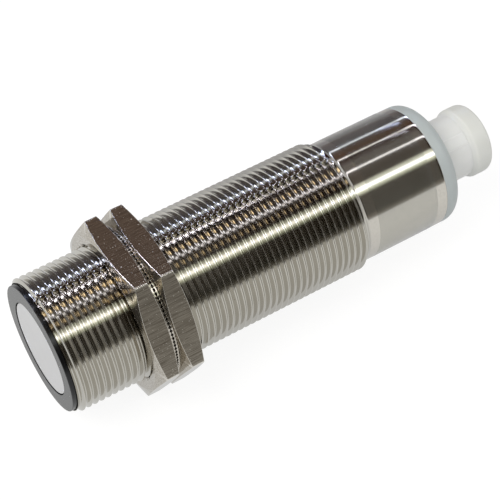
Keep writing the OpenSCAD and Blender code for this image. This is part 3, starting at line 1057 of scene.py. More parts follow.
@dataclass
class LockNut:
    """One lock nut: a hexagon crossed with two shallow cones, and a collar with radial teeth.

    Attributes:
        node: the nut's CAD node.
        facing: which way its toothed face points.
        flat: distance of the flats from the axis.
        hexagon: length of the hexagon.
        cone_deg: slope of the cones that cut the hexagon's corners.
        cone_from: radius at which the cones begin.
        bore: radius of the bore.
        bore_chamfer: chamfer at the bore's plain end.
        bore_step: length of the slope from the teeth into the bore.
        bore_land: how far the teeth stay clear of the chamfer's radius.
        collar_r: radius of the collar.
        valley: height of the collar at the bottom of the teeth.
        teeth: number of teeth.
        tooth_cut: cut of the teeth's outer edge.
        tooth_wear_and_highlight: how worn that edge is, and how much painted highlight it carries,
            from 0 to 1.
        corner_r: rounding of the hexagon's corners.
        corner_columns: places of the added columns beside each corner, in degrees.
        wear_and_highlight_deg: angle from a flat's middle past which its corner is worn and carries
            a painted highlight.
        wear_and_highlight_rise: how fast that wear and highlight grow with the radius, for each
            millimetre.
        edge: cut of the edges where cones and flats meet.
        across: wear and painted highlight across an edge's rounding, full in its middle and gone at
            its ends.
        step_deg: angle from column to column.
    """

    node: str
    facing: Facing
    flat: float = 18.0
    hexagon: float = 4.85
    cone_deg: float = 18.0
    cone_from: float = 17.4
    bore: float = 15.05
    bore_chamfer: float = 0.6
    bore_step: float = 0.3
    bore_land: float = 0.05
    collar_r: float = 17.3
    valley: float = 0.2
    teeth: int = 120
    tooth_cut: float = 0.1
    tooth_wear_and_highlight: float = 0.3
    corner_r: float = 0.3
    corner_columns: tuple[float, ...] = (-0.4, -0.27, -0.13, 0.13, 0.27, 0.4)
    wear_and_highlight_deg: float = 28.8
    wear_and_highlight_rise: float = 8.0
    edge: float = 0.09
    across: tuple[float, ...] = (0, 0.7, 1, 0.7, 0)
    step_deg: float = 0.5

    def angles(self) -> np.ndarray:
        """Even angles, with more columns where the hexagon's corners are rounded.

        Returns:
            The columns' angles in radians.
        """
        even = np.arange(0, 360, self.step_deg)
        corners = (np.arange(6) * 60 + 30)[:, None] + np.array(self.corner_columns)
        return np.radians(np.unique(np.concatenate([even, corners.ravel()])))

    def hexagon_radius(self, angles: np.ndarray) -> np.ndarray:
        """Radius of the hexagon with rounded corners.

        On a flat it is flat / cos(a), with a the angle from the flat's middle. Past the angle where
        the rounding touches the flat, it is the far crossing of the ray with the corner's circle.

        Args:
            angles: the columns' angles in radians.

        Returns:
            The radius at each angle.
        """
        half = np.radians(30)
        off = np.mod(angles + half, 2 * half) - half
        centre = (self.flat - self.corner_r) / np.cos(half)
        turn = half - np.abs(off)
        inside = np.maximum(self.corner_r ** 2 - (centre * np.sin(turn)) ** 2, 0)
        round_off = centre * np.cos(turn) + np.sqrt(inside)
        touch = np.arctan((self.flat - self.corner_r) * np.tan(half) / self.flat)
        return np.where(np.abs(off) > touch, round_off, self.flat / np.cos(off))

    def build(self) -> bpy.types.Object:
        """Builds the nut as one closed surface.

        The cones cut in by (radius - cone_from) * tan(cone_deg) where that is above 0, and the
        teeth rise and fall evenly with the angle.

        Returns:
            The dressed nut.
        """
        low, high = span(self.node)
        total = high[0] - low[0]
        angles = self.angles()
        radius = self.hexagon_radius(angles)
        cone = np.maximum((radius - self.cone_from) * np.tan(np.radians(self.cone_deg)), 0)
        tooth = 1 - 2 * np.abs(np.mod(angles / TURN * self.teeth + 0.5, 1) - 0.5)
        bottom = self.hexagon + self.valley
        top = bottom + (total - self.hexagon - self.valley) * tooth
        mouth = self.bore + self.bore_chamfer
        # Each corner's station, radius, cut, and its wear with painted highlight
        corners = [
            (self.bore_chamfer, self.bore, 0.05, 0),
            (0, mouth, 0.06, 0.2),
            (0, self.cone_from, 0.1, 0),
            (cone, radius, self.edge, 1),
            (self.hexagon - cone, radius, self.edge, 1),
            (self.hexagon, self.cone_from, 0.05, 0),
            (self.hexagon, self.collar_r, 0.02, 0),
            (top, self.collar_r, self.tooth_cut, self.tooth_wear_and_highlight),
            (top, mouth + self.bore_land, 0.03, 0),
            (bottom - self.bore_step, self.bore, 0.05, 0),
        ]
        section = rounded([corner[:3] for corner in corners], angles.size,
                          steps=len(self.across) - 1)
        if self.facing is Facing.REAR:
            section[..., 0] = low[0] + section[..., 0]
        else:
            section[..., 0] = high[0] - section[..., 0]
        wear_and_highlight = np.array([corner[3] for corner in corners])
        edge_wear_and_highlight = np.outer(wear_and_highlight, self.across).ravel()[:, None]
        # The hexagon's own corners are worn and carry a painted highlight between the two edges
        # where the cones meet it
        wear_and_highlight_r = self.flat / np.cos(np.radians(self.wear_and_highlight_deg))
        past = np.clip((radius - wear_and_highlight_r) * self.wear_and_highlight_rise, 0, 1)
        corner_wear_and_highlight = np.repeat(wear_and_highlight == 1, len(self.across))[:, None] * past
        piece = solid(self.node + "_milled", turned_points(section, angles),
                      wear_and_highlight=np.maximum(edge_wear_and_highlight, corner_wear_and_highlight))
        dressed(piece, Finish.NUT)
        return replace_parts(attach(piece, self.node), self.node)


@dataclass
class SensingHead:
    """The dark front ring with its cup, and the white radiating face set back in it.

    Attributes:
        ring_edge: cut of the ring's front edge.
        face_gap: gap between face and ring.
        face_edge: cut of the face's edge.
        skirt_r: radius of the cup's skirt inside the barrel.
        skirt_wall: thickness of the skirt's wall.
        pocket_depth: station of the pocket's floor.
        pocket_gap: gap between the pocket and the foam.
        lip: thickness of the lip before the pocket.
        collar: length of the ring that shows before the barrel.
        fine: cut of the small edges.
        columns: number of columns round the axis.
        steps: how many pieces each rounding has.
    """

    ring_edge: float = 0.2
    face_gap: float = 0.2
    face_edge: float = 0.15
    skirt_r: float = 12.95
    skirt_wall: float = 0.95
    pocket_depth: float = 6.0
    pocket_gap: float = 0.02
    lip: float = 0.8
    collar: float = 0.98
    fine: float = 0.05
    columns: int = 256
    steps: int = 6

    def build_ring(self) -> bpy.types.Object:
        """Builds the front ring with its cup.

        Returns:
            The dressed ring.
        """
        low, high = span("transducer_ring")
        ring_r, cup_depth = high[2], high[0]
        mouth = span("radiating_face")[1][2] + self.face_gap
        pocket_r = span("decoupling_foam")[1][2] + self.pocket_gap
        skirt_in = self.skirt_r - self.skirt_wall
        section = rounded([
            (0, mouth, 0.06),
            (0, ring_r, self.ring_edge),
            (self.collar, ring_r, 0.08),
            (self.collar, self.skirt_r, self.fine),
            (cup_depth, self.skirt_r, 0.2),
            (cup_depth, skirt_in, self.fine),
            (self.pocket_depth, skirt_in, self.fine),
            (self.pocket_depth, pocket_r, self.fine),
            (self.lip, pocket_r, self.fine),
            (self.lip, mouth, self.fine),
        ], steps=self.steps)
        piece = solid("front_ring", turned_points(section, even_angles(self.columns)))
        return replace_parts(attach(dressed(piece, Finish.RING), "sensor"), "transducer_ring")

    def build_face(self) -> bpy.types.Object:
        """Builds the radiating face as a disc with a rounded edge.

        Returns:
            The dressed face.
        """
        low, high = span("radiating_face")
        face_r = high[2]
        section = rounded([
            (low[0], 0, 0),
            (low[0], face_r, self.face_edge),
            (high[0], face_r, self.fine),
            (high[0], 0, 0),
        ], closed=False, steps=self.steps)
        piece = solid("sensing_face", turned_points(section, even_angles(self.columns)),
                      close_rows=False)
        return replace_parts(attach(dressed(piece, Finish.FACE), "sensor"), "radiating_face")

    def build(self) -> list[bpy.types.Object]:
        """Builds ring and face."""
        return [self.build_ring(), self.build_face()]


@dataclass
class LightRing:
    """The translucent end piece with its wide rounded rear edge.

    Attributes:
        rounding: radius of the rear edge.
        bend_points: number of points on that edge.
        wall: thickness of the rear wall.
        hole: radius of the hole for the plug.
        spigot_r: radius of the spigot inside the barrel.
        spigot_wall: thickness of the spigot's wall.
        barrel_gap: gap between the barrel's end and the shoulder.
        front_edge: cut of the shoulder's edge.
        columns: number of columns round the axis.
    """

    rounding: float = 3.0
    bend_points: int = 17
    wall: float = 2.7
    hole: float = 6.02
    spigot_r: float = 12.95
    spigot_wall: float = 2.0
    barrel_gap: float = 0.02
    front_edge: float = 0.08
    columns: int = 256

    def build(self) -> bpy.types.Object:
        """Builds the ring as a turned section.

        Its rear edge is a quarter circle: the station is centre + rounding * cos(a) and the radius
        centre + rounding * sin(a), for a from 90 degrees down to 0.

        Returns:
            The dressed ring.
        """
        low, high = span("light_ring")
        outer, end = high[2], high[0]
        shoulder = span("barrel")[1][0] + self.barrel_gap
        spigot_in = self.spigot_r - self.spigot_wall
        bend = np.radians(np.linspace(90, 0, self.bend_points))
        arc = np.stack([end - self.rounding + self.rounding * np.cos(bend),
                        outer - self.rounding + self.rounding * np.sin(bend)], axis=1)
        front = rounded([
            (low[0], spigot_in, 0),
            (low[0], self.spigot_r, 0.1),
            (shoulder, self.spigot_r, 0),
            (shoulder, outer, self.front_edge),
            (*arc[0], 0),
        ], closed=False)
        back = rounded([
            (*arc[-1], 0),
            (end, self.hole, 0.1),
            (end - self.wall, self.hole, 0.05),
            (end - self.wall, spigot_in, 0.3),
            (low[0], spigot_in, 0),
        ], closed=False)
        section = np.concatenate([front, arc[1:-1, None, :], back])
        piece = solid("end_light_ring", turned_points(section, even_angles(self.columns)))
        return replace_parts(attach(dressed(piece, Finish.LIGHT), "sensor"), "light_ring")


@dataclass
class DustCap:
    """The soft push-on cap: sleeve, thicker head, and shallow grip pads along the sleeve.

    Attributes:
        sleeve_r: radius of the sleeve.
        bore: radius of the bore.
        mouth: chamfer at the bore's mouth.
        end_wall: thickness of the head's end.
        head_length: length of the head.
        slope: how far before the head the step up to it begins. It ends a third as far past it.
        head_cut: cut of the head's rear edge.
        pad_height: height of the grip pads.
        pad_in: how far the pads stay clear of the sleeve's ends.
        pad_rise: length of the slope at a pad's ends.
        pad_from_deg: angle at which the first pad begins.
        pad_deg: width of a pad in degrees.
        pads: number of pads.
        pad_blend_deg: width of the slope at a pad's sides, in degrees.
        pad_side: shares of a pad's height between which its side carries a painted highlight.
        crease: angle in degrees past which an edge stays sharp.
        columns: number of columns round the axis.
    """

    sleeve_r: float = 7.15
    bore: float = 6.05
    mouth: float = 0.3
    end_wall: float = 3.3
    head_length: float = 4.4
    slope: float = 0.7
    head_cut: float = 1.4
    pad_height: float = 0.12
    pad_in: float = 0.2
    pad_rise: float = 0.12
    pad_from_deg: float = 22.0
    pad_deg: float = 22.0
    pads: int = 4
    pad_blend_deg: float = 1.2
    pad_side: tuple[float, float] = (0.05, 0.95)
    crease: float = 50.0
    columns: int = 480

    def pad(self, angles: np.ndarray) -> np.ndarray:
        """Height of the pads: full within a pad, with a smooth step at its sides.

        Args:
            angles: the columns' angles in radians.

        Returns:
            The height at each angle.
        """
        degrees = np.mod(np.degrees(angles) - self.pad_from_deg, 360 / self.pads)
        middle = np.abs(degrees - self.pad_deg / 2)
        return self.pad_height * smooth_step((self.pad_deg / 2 - middle) / self.pad_blend_deg)

    def build(self) -> bpy.types.Object:
        """Builds the cap as one closed surface from its mouth over the outside to its blind bore.

        Returns:
            The dressed cap.
        """
        low, high = span("dust_cap")
        start, end, head_r = low[0], high[0], high[2]
        angles = even_angles(self.columns)
        head, floor = end - self.head_length, end - self.end_wall
        pad = self.pad(angles)
        pad_start, pad_end = start + self.pad_in, head - self.slope - self.pad_in
        section = rounded([
            (floor, 0, 0),
            (floor, self.bore, 0.4),
            (start + self.mouth, self.bore, 0.1),
            (start, self.bore + self.mouth, 0.1),
            (start, self.sleeve_r, 0.15),
            (pad_start, self.sleeve_r, 0.05),
            (pad_start + self.pad_rise, self.sleeve_r + pad, 0.05),
            (pad_end - self.pad_rise, self.sleeve_r + pad, 0.05),
            (pad_end, self.sleeve_r, 0.05),
            (head - self.slope, self.sleeve_r, 0.3),
            (head + self.slope / 3, head_r, 0.35),
            (end, head_r, self.head_cut),
            (end, 0, 0),
        ], angles.size, closed=False, steps=6)
        # The pads' sides get a painted highlight through the attribute "edge"
        least, most = self.pad_side
        side = (pad > least * self.pad_height) & (pad < most * self.pad_height)
        along = (section[..., 0] > pad_start) & (section[..., 0] < pad_end)
        piece = solid("push_on_cap", turned_points(section, angles), close_rows=False,
                      crease=self.crease, wear_and_highlight=along * side)
        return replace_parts(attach(dressed(piece, Finish.CAP), "dust_cap"), "dust_cap")


@dataclass
class Plug:
    """The M12 x 1 plug under the cap: threaded shell, insert and four contact pins.

    Attributes:
        crest: radius of the thread's crests.
        pitch: how far one turn of the thread goes.
        depth: depth of the thread.
        run_in: length of the slope where the thread begins.
        flange: thickness of the flange inside the light ring.
        flange_gap: gap between the light ring and the neck.
        carrier_gap: gap between the shell and the contact carrier.
        socket: radius of the socket.
        socket_depth: depth of the socket.
        chamfer: chamfer of the shell's end.
        end_land: how far the end's face stays below the chamfer.
        neck: length of the plain neck before the thread.
        crease: angle in degrees past which an edge stays sharp.
        shell_columns: number of columns round the shell's axis.
        pin_columns: number of columns round a pin's axis.
        pins: number of pins.
    """

    crest: float = 6.0
    pitch: float = 1.0
    depth: float = 0.61
    run_in: float = 0.4
    flange: float = 2.0
    flange_gap: float = 0.1
    carrier_gap: float = 0.02
    socket: float = 4.25
    socket_depth: float = 7.0
    chamfer: float = 0.5
    end_land: float = 0.02
    neck: float = 0.7
    crease: float = 50.0
    shell_columns: int = 144
    pin_columns: int = 40
    pins: int = 4

    def build_shell(self) -> bpy.types.Object:
        """Builds the shell with its helical thread.

        Returns:
            The dressed shell.
        """
        low, high = span("plug_shell")
        flange_r, end = high[2], high[0]
        crest, root = self.crest, self.crest - self.depth
        light_end = span("light_ring")[1][0]
        hole = span("contact_carrier")[1][2] + self.carrier_gap
        angles = even_angles(self.shell_columns)
        thread_start = light_end + self.neck
        thread = Thread(crest, self.pitch, self.depth, thread_start, end, 0.0)
        blank = np.array([[light_end, root], [thread_start, root],
                          [thread_start + self.run_in, crest],
                          [end - self.chamfer, crest], [end, crest - self.chamfer]])
        floor = end - self.socket_depth
        flange_end, neck_start = low[0] + self.flange, light_end + self.flange_gap
        front = rounded([
            (floor, hole, 0),
            (low[0], hole, 0.05),
            (low[0], flange_r, 0.1),
            (flange_end, flange_r, 0.1),
            (flange_end, crest, 0.05),
            (neck_start, crest, 0.03),
            (neck_start, root, 0.03),
            (thread_start, root, 0),
        ], angles.size, closed=False)
        back = rounded([
            (end, crest - self.chamfer - self.end_land, 0),
            (end, self.socket, 0.1),
            (floor, self.socket, 0.05),
            (floor, hole, 0),
        ], angles.size, closed=False)
        section = np.concatenate([front, thread.section(angles, blank), back])
        piece = solid("plug_thread_shell", turned_points(section, angles), crease=self.crease)
        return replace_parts(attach(dressed(piece, Finish.PLUG), "sensor"), "plug_shell")

    def build_pin(self, node: str) -> bpy.types.Object:
        """Builds one contact pin as a turned form with a tapered, rounded tip, at its CAD place.

        Args:
            node: the pin's CAD node.

        Returns:
            The dressed pin.
        """
        low, high = span(node)
        radius = (high[1] - low[1]) / 2
        middle = (low + high) / 2
        section = rounded([
            (low[0], 0, 0),
            (low[0], radius, 0.05),
            (high[0] - radius, radius, 0.3),
            (high[0], radius / 2, 0.2),
            (high[0], 0, 0),
        ], closed=False)
        points = turned_points(section, even_angles(self.pin_columns))
        piece = solid(node + "_turned", points + [0, middle[1], middle[2]], close_rows=False)
        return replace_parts(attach(dressed(piece, Finish.PIN), "sensor"), node)

    def build(self) -> list[bpy.types.Object]:
        """Builds shell and pins."""
        pins = [self.build_pin(f"contact_pin_{i}") for i in range(1, self.pins + 1)]
        return [self.build_shell(), *pins]


@dataclass
class ShankFilm:
    """The clear adhesive film round the smooth shank, its edges slightly askew.

    Attributes:
        front: station of its front edge.
        rear: station of its rear edge.
        skew: how far the edges lean to either side.
        thickness: thickness of the film.
        edge: cut of its edges.
        lift: thickness of its adhesive.
        from_deg: angle at which it begins.
        wrap_deg: how far it goes round, in degrees.
        crease: angle in degrees past which an edge stays sharp.
        columns: number of columns along its length.
    """

    front: float = 74.0
    rear: float = 89.0
    skew: float = 0.3
    thickness: float = 0.05
    edge: float = 0.01
    lift: float = 0.004
    from_deg: float = 150.0
    wrap_deg: float = 352.0
    crease: float = 40.0
    columns: int = 240

    def build(self) -> bpy.types.Object:
        """Builds the film as a thin closed shell, wrapped not quite all the way round.

        Its station is front + skew * cos(angle), its section a flat loop as thick as the film. All
        rows meet in one point at either end.

        Returns:
            The dressed film.
        """
        inner = Barrel.shank_r + self.lift
        outer = inner + self.thickness
        turn = np.radians(self.from_deg + np.linspace(0, self.wrap_deg, self.columns))
        shift = self.skew * np.cos(turn)
        loop = rounded([
            (self.front + shift, inner, self.edge),
            (self.front + shift, outer, self.edge),
            (self.rear + shift, outer, self.edge),
            (self.rear + shift, inner, self.edge),
        ], turn.size, steps=2)
        points = turned_points(loop, turn)
        ends = np.stack([points[:, [0, -1]].mean(axis=0)] * len(points))
        points = np.concatenate([ends[:, :1], points, ends[:, 1:]], axis=1)
        mesh = bpy.data.meshes.new("shank_film")
        mesh.from_pydata(points.reshape(-1, 3) * MM, [], grid_faces(*points.shape[:2], True, False))
        mend(mesh, self.crease, drop_flat=False)
        piece = in_scene("shank_film", mesh)
        dressed(piece, Finish.FILM)
        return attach(piece, "sensor")


@dataclass
class InnerParts:
    """The CAD nodes whose shape is kept.

    Attributes:
        finishes: each node's finish.
    """

    finishes: dict[str, Finish] = field(default_factory=lambda: {
        "front_seal": Finish.RUBBER,
        "rear_seal": Finish.RUBBER,
        "decoupling_foam": Finish.FOAM,
        "piezo_disc": Finish.PIEZO,
        "damping_block": Finish.DAMPER,
        "screening_can": Finish.TIN,
        "transducer_leads": Finish.WIRE,
        "circuit_board": Finish.BOARD,
        "driver_transformer": Finish.FERRITE,
        "controller_chip": Finish.CHIP,
        "storage_capacitor": Finish.CAN,
        "status_lights": Finish.LAMP,
        "potting": Finish.POTTING,
        "contact_carrier": Finish.CARRIER,
    })

    def dress(self) -> list[bpy.types.Object]:
        """Dresses every kept node."""
        return [dressed(frame["nodes"][node], finish) for node, finish in self.finishes.items()]


# The studio


@dataclass(frozen=True)
class Strip:
    """A strip lamp along the axis, as seen from the sensor.

    Attributes:
        at: angle of its middle from straight up towards the camera's side, in degrees.
        width: width of its bright core in degrees.
        before: how far its light fades out before the core, in degrees.
        after: how far its light fades out after the core, in degrees.
        light: its light, of which 1 is white.
    """

    at: float
    width: float
    before: float
    after: float
    light: Colour


@dataclass
class Studio:
    """White sheet, soft lamp, the room that the metal mirrors, and the camera.

    The room's angles run as the sensor's do, in degrees. A reach is how far a direction leans
    along the axis, from -1 at the sensing end to 1 at the plug's end.

    Attributes:
        strips: the strip lamps, in the order of their angles.
        peak: the strongest of their light.
        levels: the room's dim light at several angles.
        middle: reaches between which the lamps and the room are seen as given above.
        back_gain: how many times the lamps behind straight up add their light outside them.
        front_gain: how many times those near straight up do.
        back_lamps: angles between which the first gain gives way to the second.
        front_lamps: angles between which the second gain ends.
        gain_end: reaches between which both gains end.
        dim: light above which a band counts as a lamp.
        cool: tint of the light that is gained.
        veil: how much dimmer the room is outside the middle reaches.
        darkest: the room's least light.
        warm_lamps: angles to either side between which a warm lamp rises and falls.
        warm_reach: reaches between which both warm lamps rise and fall.
        warm_light: light of the one behind straight up.
        warm_fade: angles between which it gives way to the other one's light.
        warm_second: the other one's light as a share of it.
        wall_light: light of the end wall.
        wall_from: reaches between which the wall begins.
        soft_light: strength of the soft light on matt surfaces.
        soft_side: how much more of it comes from the camera's side.
        soft_colour: its colour.
        bounce: strength of the light that the sheet throws back on matt surfaces.
        bounce_colour: its colour.
        sheet_near: the mirrored sheet's colour near the camera.
        sheet_far: its colour behind the plug's end, darker as a painted falloff of light.
        sheet_across: places across the axis between which it changes.
        sheet_along: stations between which it changes.
        contact: how bright the mirrored sheet is right under the sensor, where it carries a painted
            shadow.
        contact_across: distances from the axis between which it reaches its full light.
        paper: how much of the lamp's light the sheet shows, and so how strong the shadow is.
        glow: light that the sheet shows in shadow.
        ground: height of the sheet.
        sheet_half: half the sheet's width.
        camera_at: place of the camera.
        camera_forward: the way it looks.
        camera_up: the picture's upward direction.
        camera_clip: nearest and farthest distance that it shows, in metres.
        lens: focal length.
        sensor: width of its sensor.
        lamp_at: place of the soft lamp.
        lamp_aim: the point that it faces.
        lamp_size: its width and height.
        lamp_power: its power in watts.
        lamp_colour: its colour.
    """

    strips: tuple[Strip, ...] = (
        Strip(-60.2, 1.2, 2.2, 2.4, (1.45, 1.6, 1.85)),
        Strip(-34.0, 0.7, 0.8, 1.2, (2.9, 2.92, 3.0)),
        Strip(-4.6, 0.9, 1.1, 2.7, (2.2, 2.2, 2.35)),
        Strip(26.0, 3.5, 2.6, 1.6, (0.86, 0.88, 0.76)),
        Strip(32.9, 2.6, 2.3, 2.3, (3.1, 3.15, 3.2)),
        Strip(37.8, 0.8, 1.0, 6.0, (0.95, 1.0, 0.8)),
    )
    peak: float = 3.6
    levels: tuple[tuple[float, Colour], ...] = (
        (-112.0, (0.56, 0.58, 0.62)), (-95.0, (0.26, 0.245, 0.25)),
        (-84.0, (0.17, 0.155, 0.163)), (-68.0, (0.141, 0.136, 0.145)),
        (-42.0, (0.112, 0.069, 0.047)), (-28.0, (0.062, 0.046, 0.044)),
        (-17.0, (0.18, 0.164, 0.155)), (10.0, (0.104, 0.09, 0.078)),
        (79.0, (0.11, 0.105, 0.094)), (86.0, (0.208, 0.195, 0.172)),
        (94.0, (0.56, 0.57, 0.57)), (180.0, (0.68, 0.7, 0.71)),
    )
    middle: Window = (0.05, 0.16, 0.44, 0.52)
    back_gain: float = 8.0
    front_gain: float = 0.8
    back_lamps: tuple[float, float] = (-26.0, -18.0)
    front_lamps: tuple[float, float] = (8.0, 15.0)
    gain_end: tuple[float, float] = (0.62, 0.68)
    dim: float = 0.45
    cool: Colour = (1.02, 1.0, 1.18)
    veil: Colour = (0.088, 0.085, 0.08)
    darkest: Colour = (0.012, 0.01, 0.008)
    warm_lamps: Window = (8.0, 10.0, 14.5, 17.0)
    warm_reach: Window = (-0.42, -0.36, 0.02, 0.08)
    warm_light: Colour = (3.6, 2.8, 1.7)
    warm_fade: tuple[float, float] = (-5.0, 5.0)
    warm_second: float = 0.4
    wall_light: Colour = (0.5, 0.5, 0.5)
    wall_from: tuple[float, float] = (0.62, 0.74)
    soft_light: float = 0.6
    soft_side: float = 0.27
    soft_colour: Colour = (1.0, 0.99, 0.97)
    bounce: float = 0.38
    bounce_colour: Colour = (1.0, 1.0, 0.98)
    sheet_near: Colour = (0.79, 0.795, 0.79)
    sheet_far: Colour = (0.3, 0.3, 0.32)
    sheet_across: tuple[float, float] = (-50.0, 150.0)
    sheet_along: tuple[float, float] = (0.0, 35.0)
    contact: float = 0.88
    contact_across: tuple[float, float] = (12.0, 24.0)
    paper: float = 0.2
    glow: float = 0.87
    ground: float = -18.0
    sheet_half: float = 3000.0
    camera_at: Place = (-61.63, -190.01, 261.24)
    camera_forward: Place = (0.32565, 0.55416, -0.76607)
    camera_up: Place = (0.41802, 0.64236, 0.64236)
    camera_clip: tuple[float, float] = (0.01, 20.0)
    lens: float = 116.2
    sensor: float = 36.0
    lamp_at: Place = (-350.0, 0.0, 600.0)
    lamp_aim: Place = (50.0, 0.0, 0.0)
    lamp_size: float = 500.0
    lamp_power: float = 2.8
    lamp_colour: Colour = (1.0, 0.98, 0.95)

    def build_camera(self) -> None:
        """Sets the camera at the photograph's viewing angle, from its place and two directions."""
        camera = in_scene("camera", bpy.data.cameras.new("camera"))
        forward = Vector(self.camera_forward).normalized()
        right = forward.cross(Vector(self.camera_up)).normalized()
        turn = Matrix((right, right.cross(forward), -forward)).transposed()
        camera.matrix_world = Matrix.Translation(Vector(self.camera_at) * MM) @ turn.to_4x4()
        camera.data.lens = self.lens
        camera.data.sensor_width = self.sensor
        camera.data.clip_start, camera.data.clip_end = self.camera_clip
        bpy.context.scene.camera = camera

    def build_world(self) -> None:
        """Builds the room: white to the camera, soft to matt surfaces, lamps to mirroring ones."""
        world = bpy.data.worlds.new("room")
        bpy.context.scene.world = world
        world.use_nodes = True
        g = Graph(world.node_tree)
        way = g.add("SeparateXYZ", {0: g.add("TexCoord").outputs["Generated"]}).outputs
        angle = g.math("ARCTAN2", g.math("MULTIPLY", way["Y"], -1.0), way["Z"])
        light = self.lamp_light(g, angle, way["X"])
        light = g.vector("ADD", light, self.warm_lamp_light(g, angle, way["X"]))
        # The end wall only shows in corners that mirror twice
        wall = g.scaled(self.wall_light, g.ramp(way["X"], *self.wall_from))
        light = g.vector("ADD", light, wall)
        mirrored = g.add("Background", {"Color": light, "Strength": 1.0})
        strength = g.math("MULTIPLY_ADD", way["Y"], -self.soft_side, self.soft_light)
        soft = g.add("Background", {"Color": self.soft_colour, "Strength": strength})
        white = g.add("Background", {"Color": WHITE, "Strength": 1.0})
        path = g.add("LightPath").outputs
        lit = g.add("MixShader", {0: path["Is Glossy Ray"], 1: soft.outputs[0],
                                  2: mirrored.outputs[0]})
        seen = g.add("MixShader", {0: path["Is Camera Ray"], 1: lit.outputs[0],
                                   2: white.outputs[0]})
        g.add("OutputWorld", {"Surface": seen.outputs[0]})
        world.cycles.sampling_method = "NONE"

    def lamp_light(self, g: Graph, angle: Socket, reach: Socket) -> Socket:
        """Light of the strip lamps and the dim room.

        Outside the middle reaches, what a band has above the dim light is added again, times the
        gain, and the room is dimmer.

        Args:
            g: the world's graph.
            angle: the direction's angle in radians.
            reach: the direction's reach.

        Returns:
            The light as a colour.
        """
        bands = g.add("ValToRGB", {"Fac": g.ramp(angle, -np.pi, np.pi)})
        self.paint_bands(bands.color_ramp)
        bright = g.scaled(bands.outputs[0], self.peak)
        aside = g.math("SUBTRACT", 1.0, g.window(reach, self.middle))
        to_front = g.ramp(angle, *np.radians(self.back_lamps), self.back_gain, self.front_gain)
        to_none = g.ramp(angle, *np.radians(self.front_lamps), 0.0, -self.front_gain)
        gain = g.math("MULTIPLY", g.math("ADD", to_front, to_none),
                      g.ramp(reach, *self.gain_end, 1.0, 0.0))
        over = g.vector("MAXIMUM", g.vector("SUBTRACT", bright, (self.dim,) * 3))
        over = g.scaled(over, g.math("MULTIPLY", aside, gain))
        light = g.vector("ADD", bright, g.vector("MULTIPLY", over, self.cool))
        light = g.vector("SUBTRACT", light, g.scaled(self.veil, aside))
        return g.vector("MAXIMUM", light, self.darkest)

    def warm_lamp_light(self, g: Graph, angle: Socket, reach: Socket) -> Socket:
        """Light of the two warm lamps, one on either side of straight up.

        Args:
            g: the world's graph.
            angle: the direction's angle in radians.
            reach: the direction's reach.

        Returns:
            The light as a colour.
        """
        share = g.math("MULTIPLY", g.window(g.math("ABSOLUTE", angle), np.radians(self.warm_lamps)),
                       g.window(reach, self.warm_reach))
        fade = g.ramp(angle, *np.radians(self.warm_fade), 1.0, self.warm_second)
        return g.scaled(self.warm_light, g.math("MULTIPLY", share, fade))

    def paint_bands(self, ramp: bpy.types.ColorRamp) -> None:
        """Paints the room's light by angle: its dim levels, and on them the strip lamps.

        A level that falls within a strip or its fading edges is left out, and where two strips'
        edges meet, one runs straight into the other.

        Args:
            ramp: the colour ramp, whose 0 and 1 stand for half a turn either way from straight up.
        """
        angles, colours = zip(*self.levels)

        def level(at: float) -> Colour:
            """The room's dim level at an angle, between its named levels."""
            return tuple(float(np.interp(at, angles, part)) for part in zip(*colours))

        stops = []
        ends = [(s.at - s.width / 2 - s.before, s.at + s.width / 2 + s.after) for s in self.strips]
        for i, strip in enumerate(self.strips):
            if i == 0 or ends[i - 1][1] < ends[i][0]:
                stops.append((ends[i][0], level(ends[i][0])))
            stops += [(strip.at - strip.width / 2, strip.light),
                      (strip.at + strip.width / 2, strip.light)]
            if i == len(ends) - 1 or ends[i][1] < ends[i + 1][0]:
                stops.append((ends[i][1], level(ends[i][1])))
        stops += [(at, colour) for at, colour in self.levels
                  if not any(low <= at <= high for low, high in ends)]
        stops.sort(key=lambda stop: stop[0])
        while len(ramp.elements) < len(stops):
            ramp.elements.new(1.0)
        for element, (at, colour) in zip(ramp.elements, stops):
            element.position = (at + 180) / 360
            element.color = (*(part / self.peak for part in colour), 1.0)

    def build_sheet(self) -> None:
        """Lays the white sheet that the nuts' flats rest on."""
        corners = np.array([[-1, -1, 0], [1, -1, 0], [1, 1, 0], [-1, 1, 0]]) * self.sheet_half
        corners[:, 2] = self.ground
        mesh = bpy.data.meshes.new("sheet")
        mesh.from_pydata(corners * MM, [], [(0, 1, 2, 3)])
        sheet = in_scene("sheet", mesh)
        mesh.materials.append(self.sheet_material())

    def sheet_material(self) -> bpy.types.Material:
        """Paper that glows to the camera, but takes the shadow, and is a pale floor to mirrors.

        Returns:
            The sheet's material.
        """
        material, g = blank_material("white_sheet")
        path = g.add("LightPath").outputs
        paper = g.add("BsdfDiffuse", {"Color": (self.paper,) * 3}).outputs[0]
        glow = g.add("Emission", {"Color": WHITE, "Strength": self.glow}).outputs[0]
        thrown = g.add("Emission", {"Color": self.bounce_colour,
                                    "Strength": self.bounce}).outputs[0]
        seen = g.add("AddShader", {0: paper, 1: glow})
        bounce = g.add("AddShader", {0: paper, 1: thrown})
        place = g.add("SeparateXYZ", {0: g.place()}).outputs
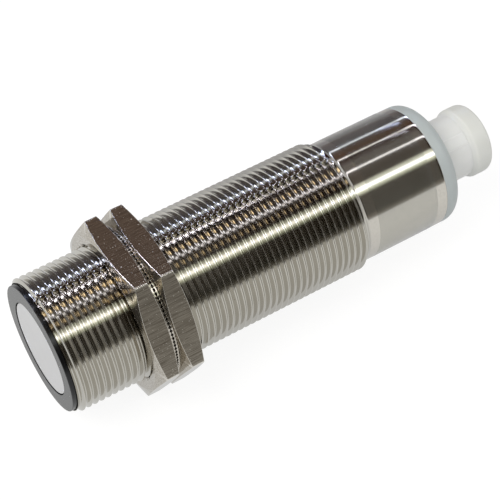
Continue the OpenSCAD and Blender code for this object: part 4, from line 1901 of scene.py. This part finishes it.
        # Painted falloff of light: the mirrored sheet darkens away from the sensor
        far = g.math("MULTIPLY", g.ramp(place["Y"], *self.sheet_across),
                     g.ramp(place["X"], *self.sheet_along))
        # Painted shadow: the mirrored sheet is dimmer right under the sensor
        near = g.ramp(g.math("ABSOLUTE", place["Y"]), *self.contact_across, self.contact, 1.0)
        pale = g.add("Emission", {"Color": g.mix(far, self.sheet_near, self.sheet_far),
                                  "Strength": near})
        mirrored = g.math("MAXIMUM", path["Is Glossy Ray"], path["Is Transmission Ray"])
        base = g.add("MixShader", {0: mirrored, 1: bounce.outputs[0], 2: pale.outputs[0]})
        closed_with(g, g.add("MixShader", {0: path["Is Camera Ray"], 1: base.outputs[0],
                                           2: seen.outputs[0]}))
        material.cycles.emission_sampling = "NONE"
        return material

    def build_lamp(self) -> None:
        """Hangs one wide soft lamp that mirrors don't show, so that it only lights and shades."""
        lamp = bpy.data.lights.new("soft_lamp", "AREA")
        lamp.shape = "RECTANGLE"
        lamp.size = lamp.size_y = self.lamp_size * MM
        lamp.energy = self.lamp_power
        lamp.color = self.lamp_colour
        holder = in_scene("soft_lamp", lamp)
        at, aim = Vector(self.lamp_at) * MM, Vector(self.lamp_aim) * MM
        holder.location = at
        holder.rotation_euler = (aim - at).to_track_quat("-Z", "Y").to_euler()
        holder.visible_glossy = False
        holder.visible_camera = False

    def build(self) -> None:
        """Builds the whole studio."""
        bpy.context.scene.view_settings.view_transform = "Standard"
        self.build_camera()
        self.build_world()
        self.build_sheet()
        self.build_lamp()


def main() -> None:
    """Builds every sub-assembly in order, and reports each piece."""
    logging.basicConfig(level=logging.INFO, format="%(name)s: %(message)s")
    Studio().build()
    made = [Barrel().build(), LockNut("front_nut", Facing.REAR).build(),
            LockNut("rear_nut", Facing.FRONT).build(), *SensingHead().build(), LightRing().build(),
            DustCap().build(), *Plug().build(), ShankFilm().build(), *InnerParts().dress()]
    for piece in made:
        log.info("%s: %d faces", piece.name, len(piece.data.polygons))


if __name__ == "__main__":
    main()
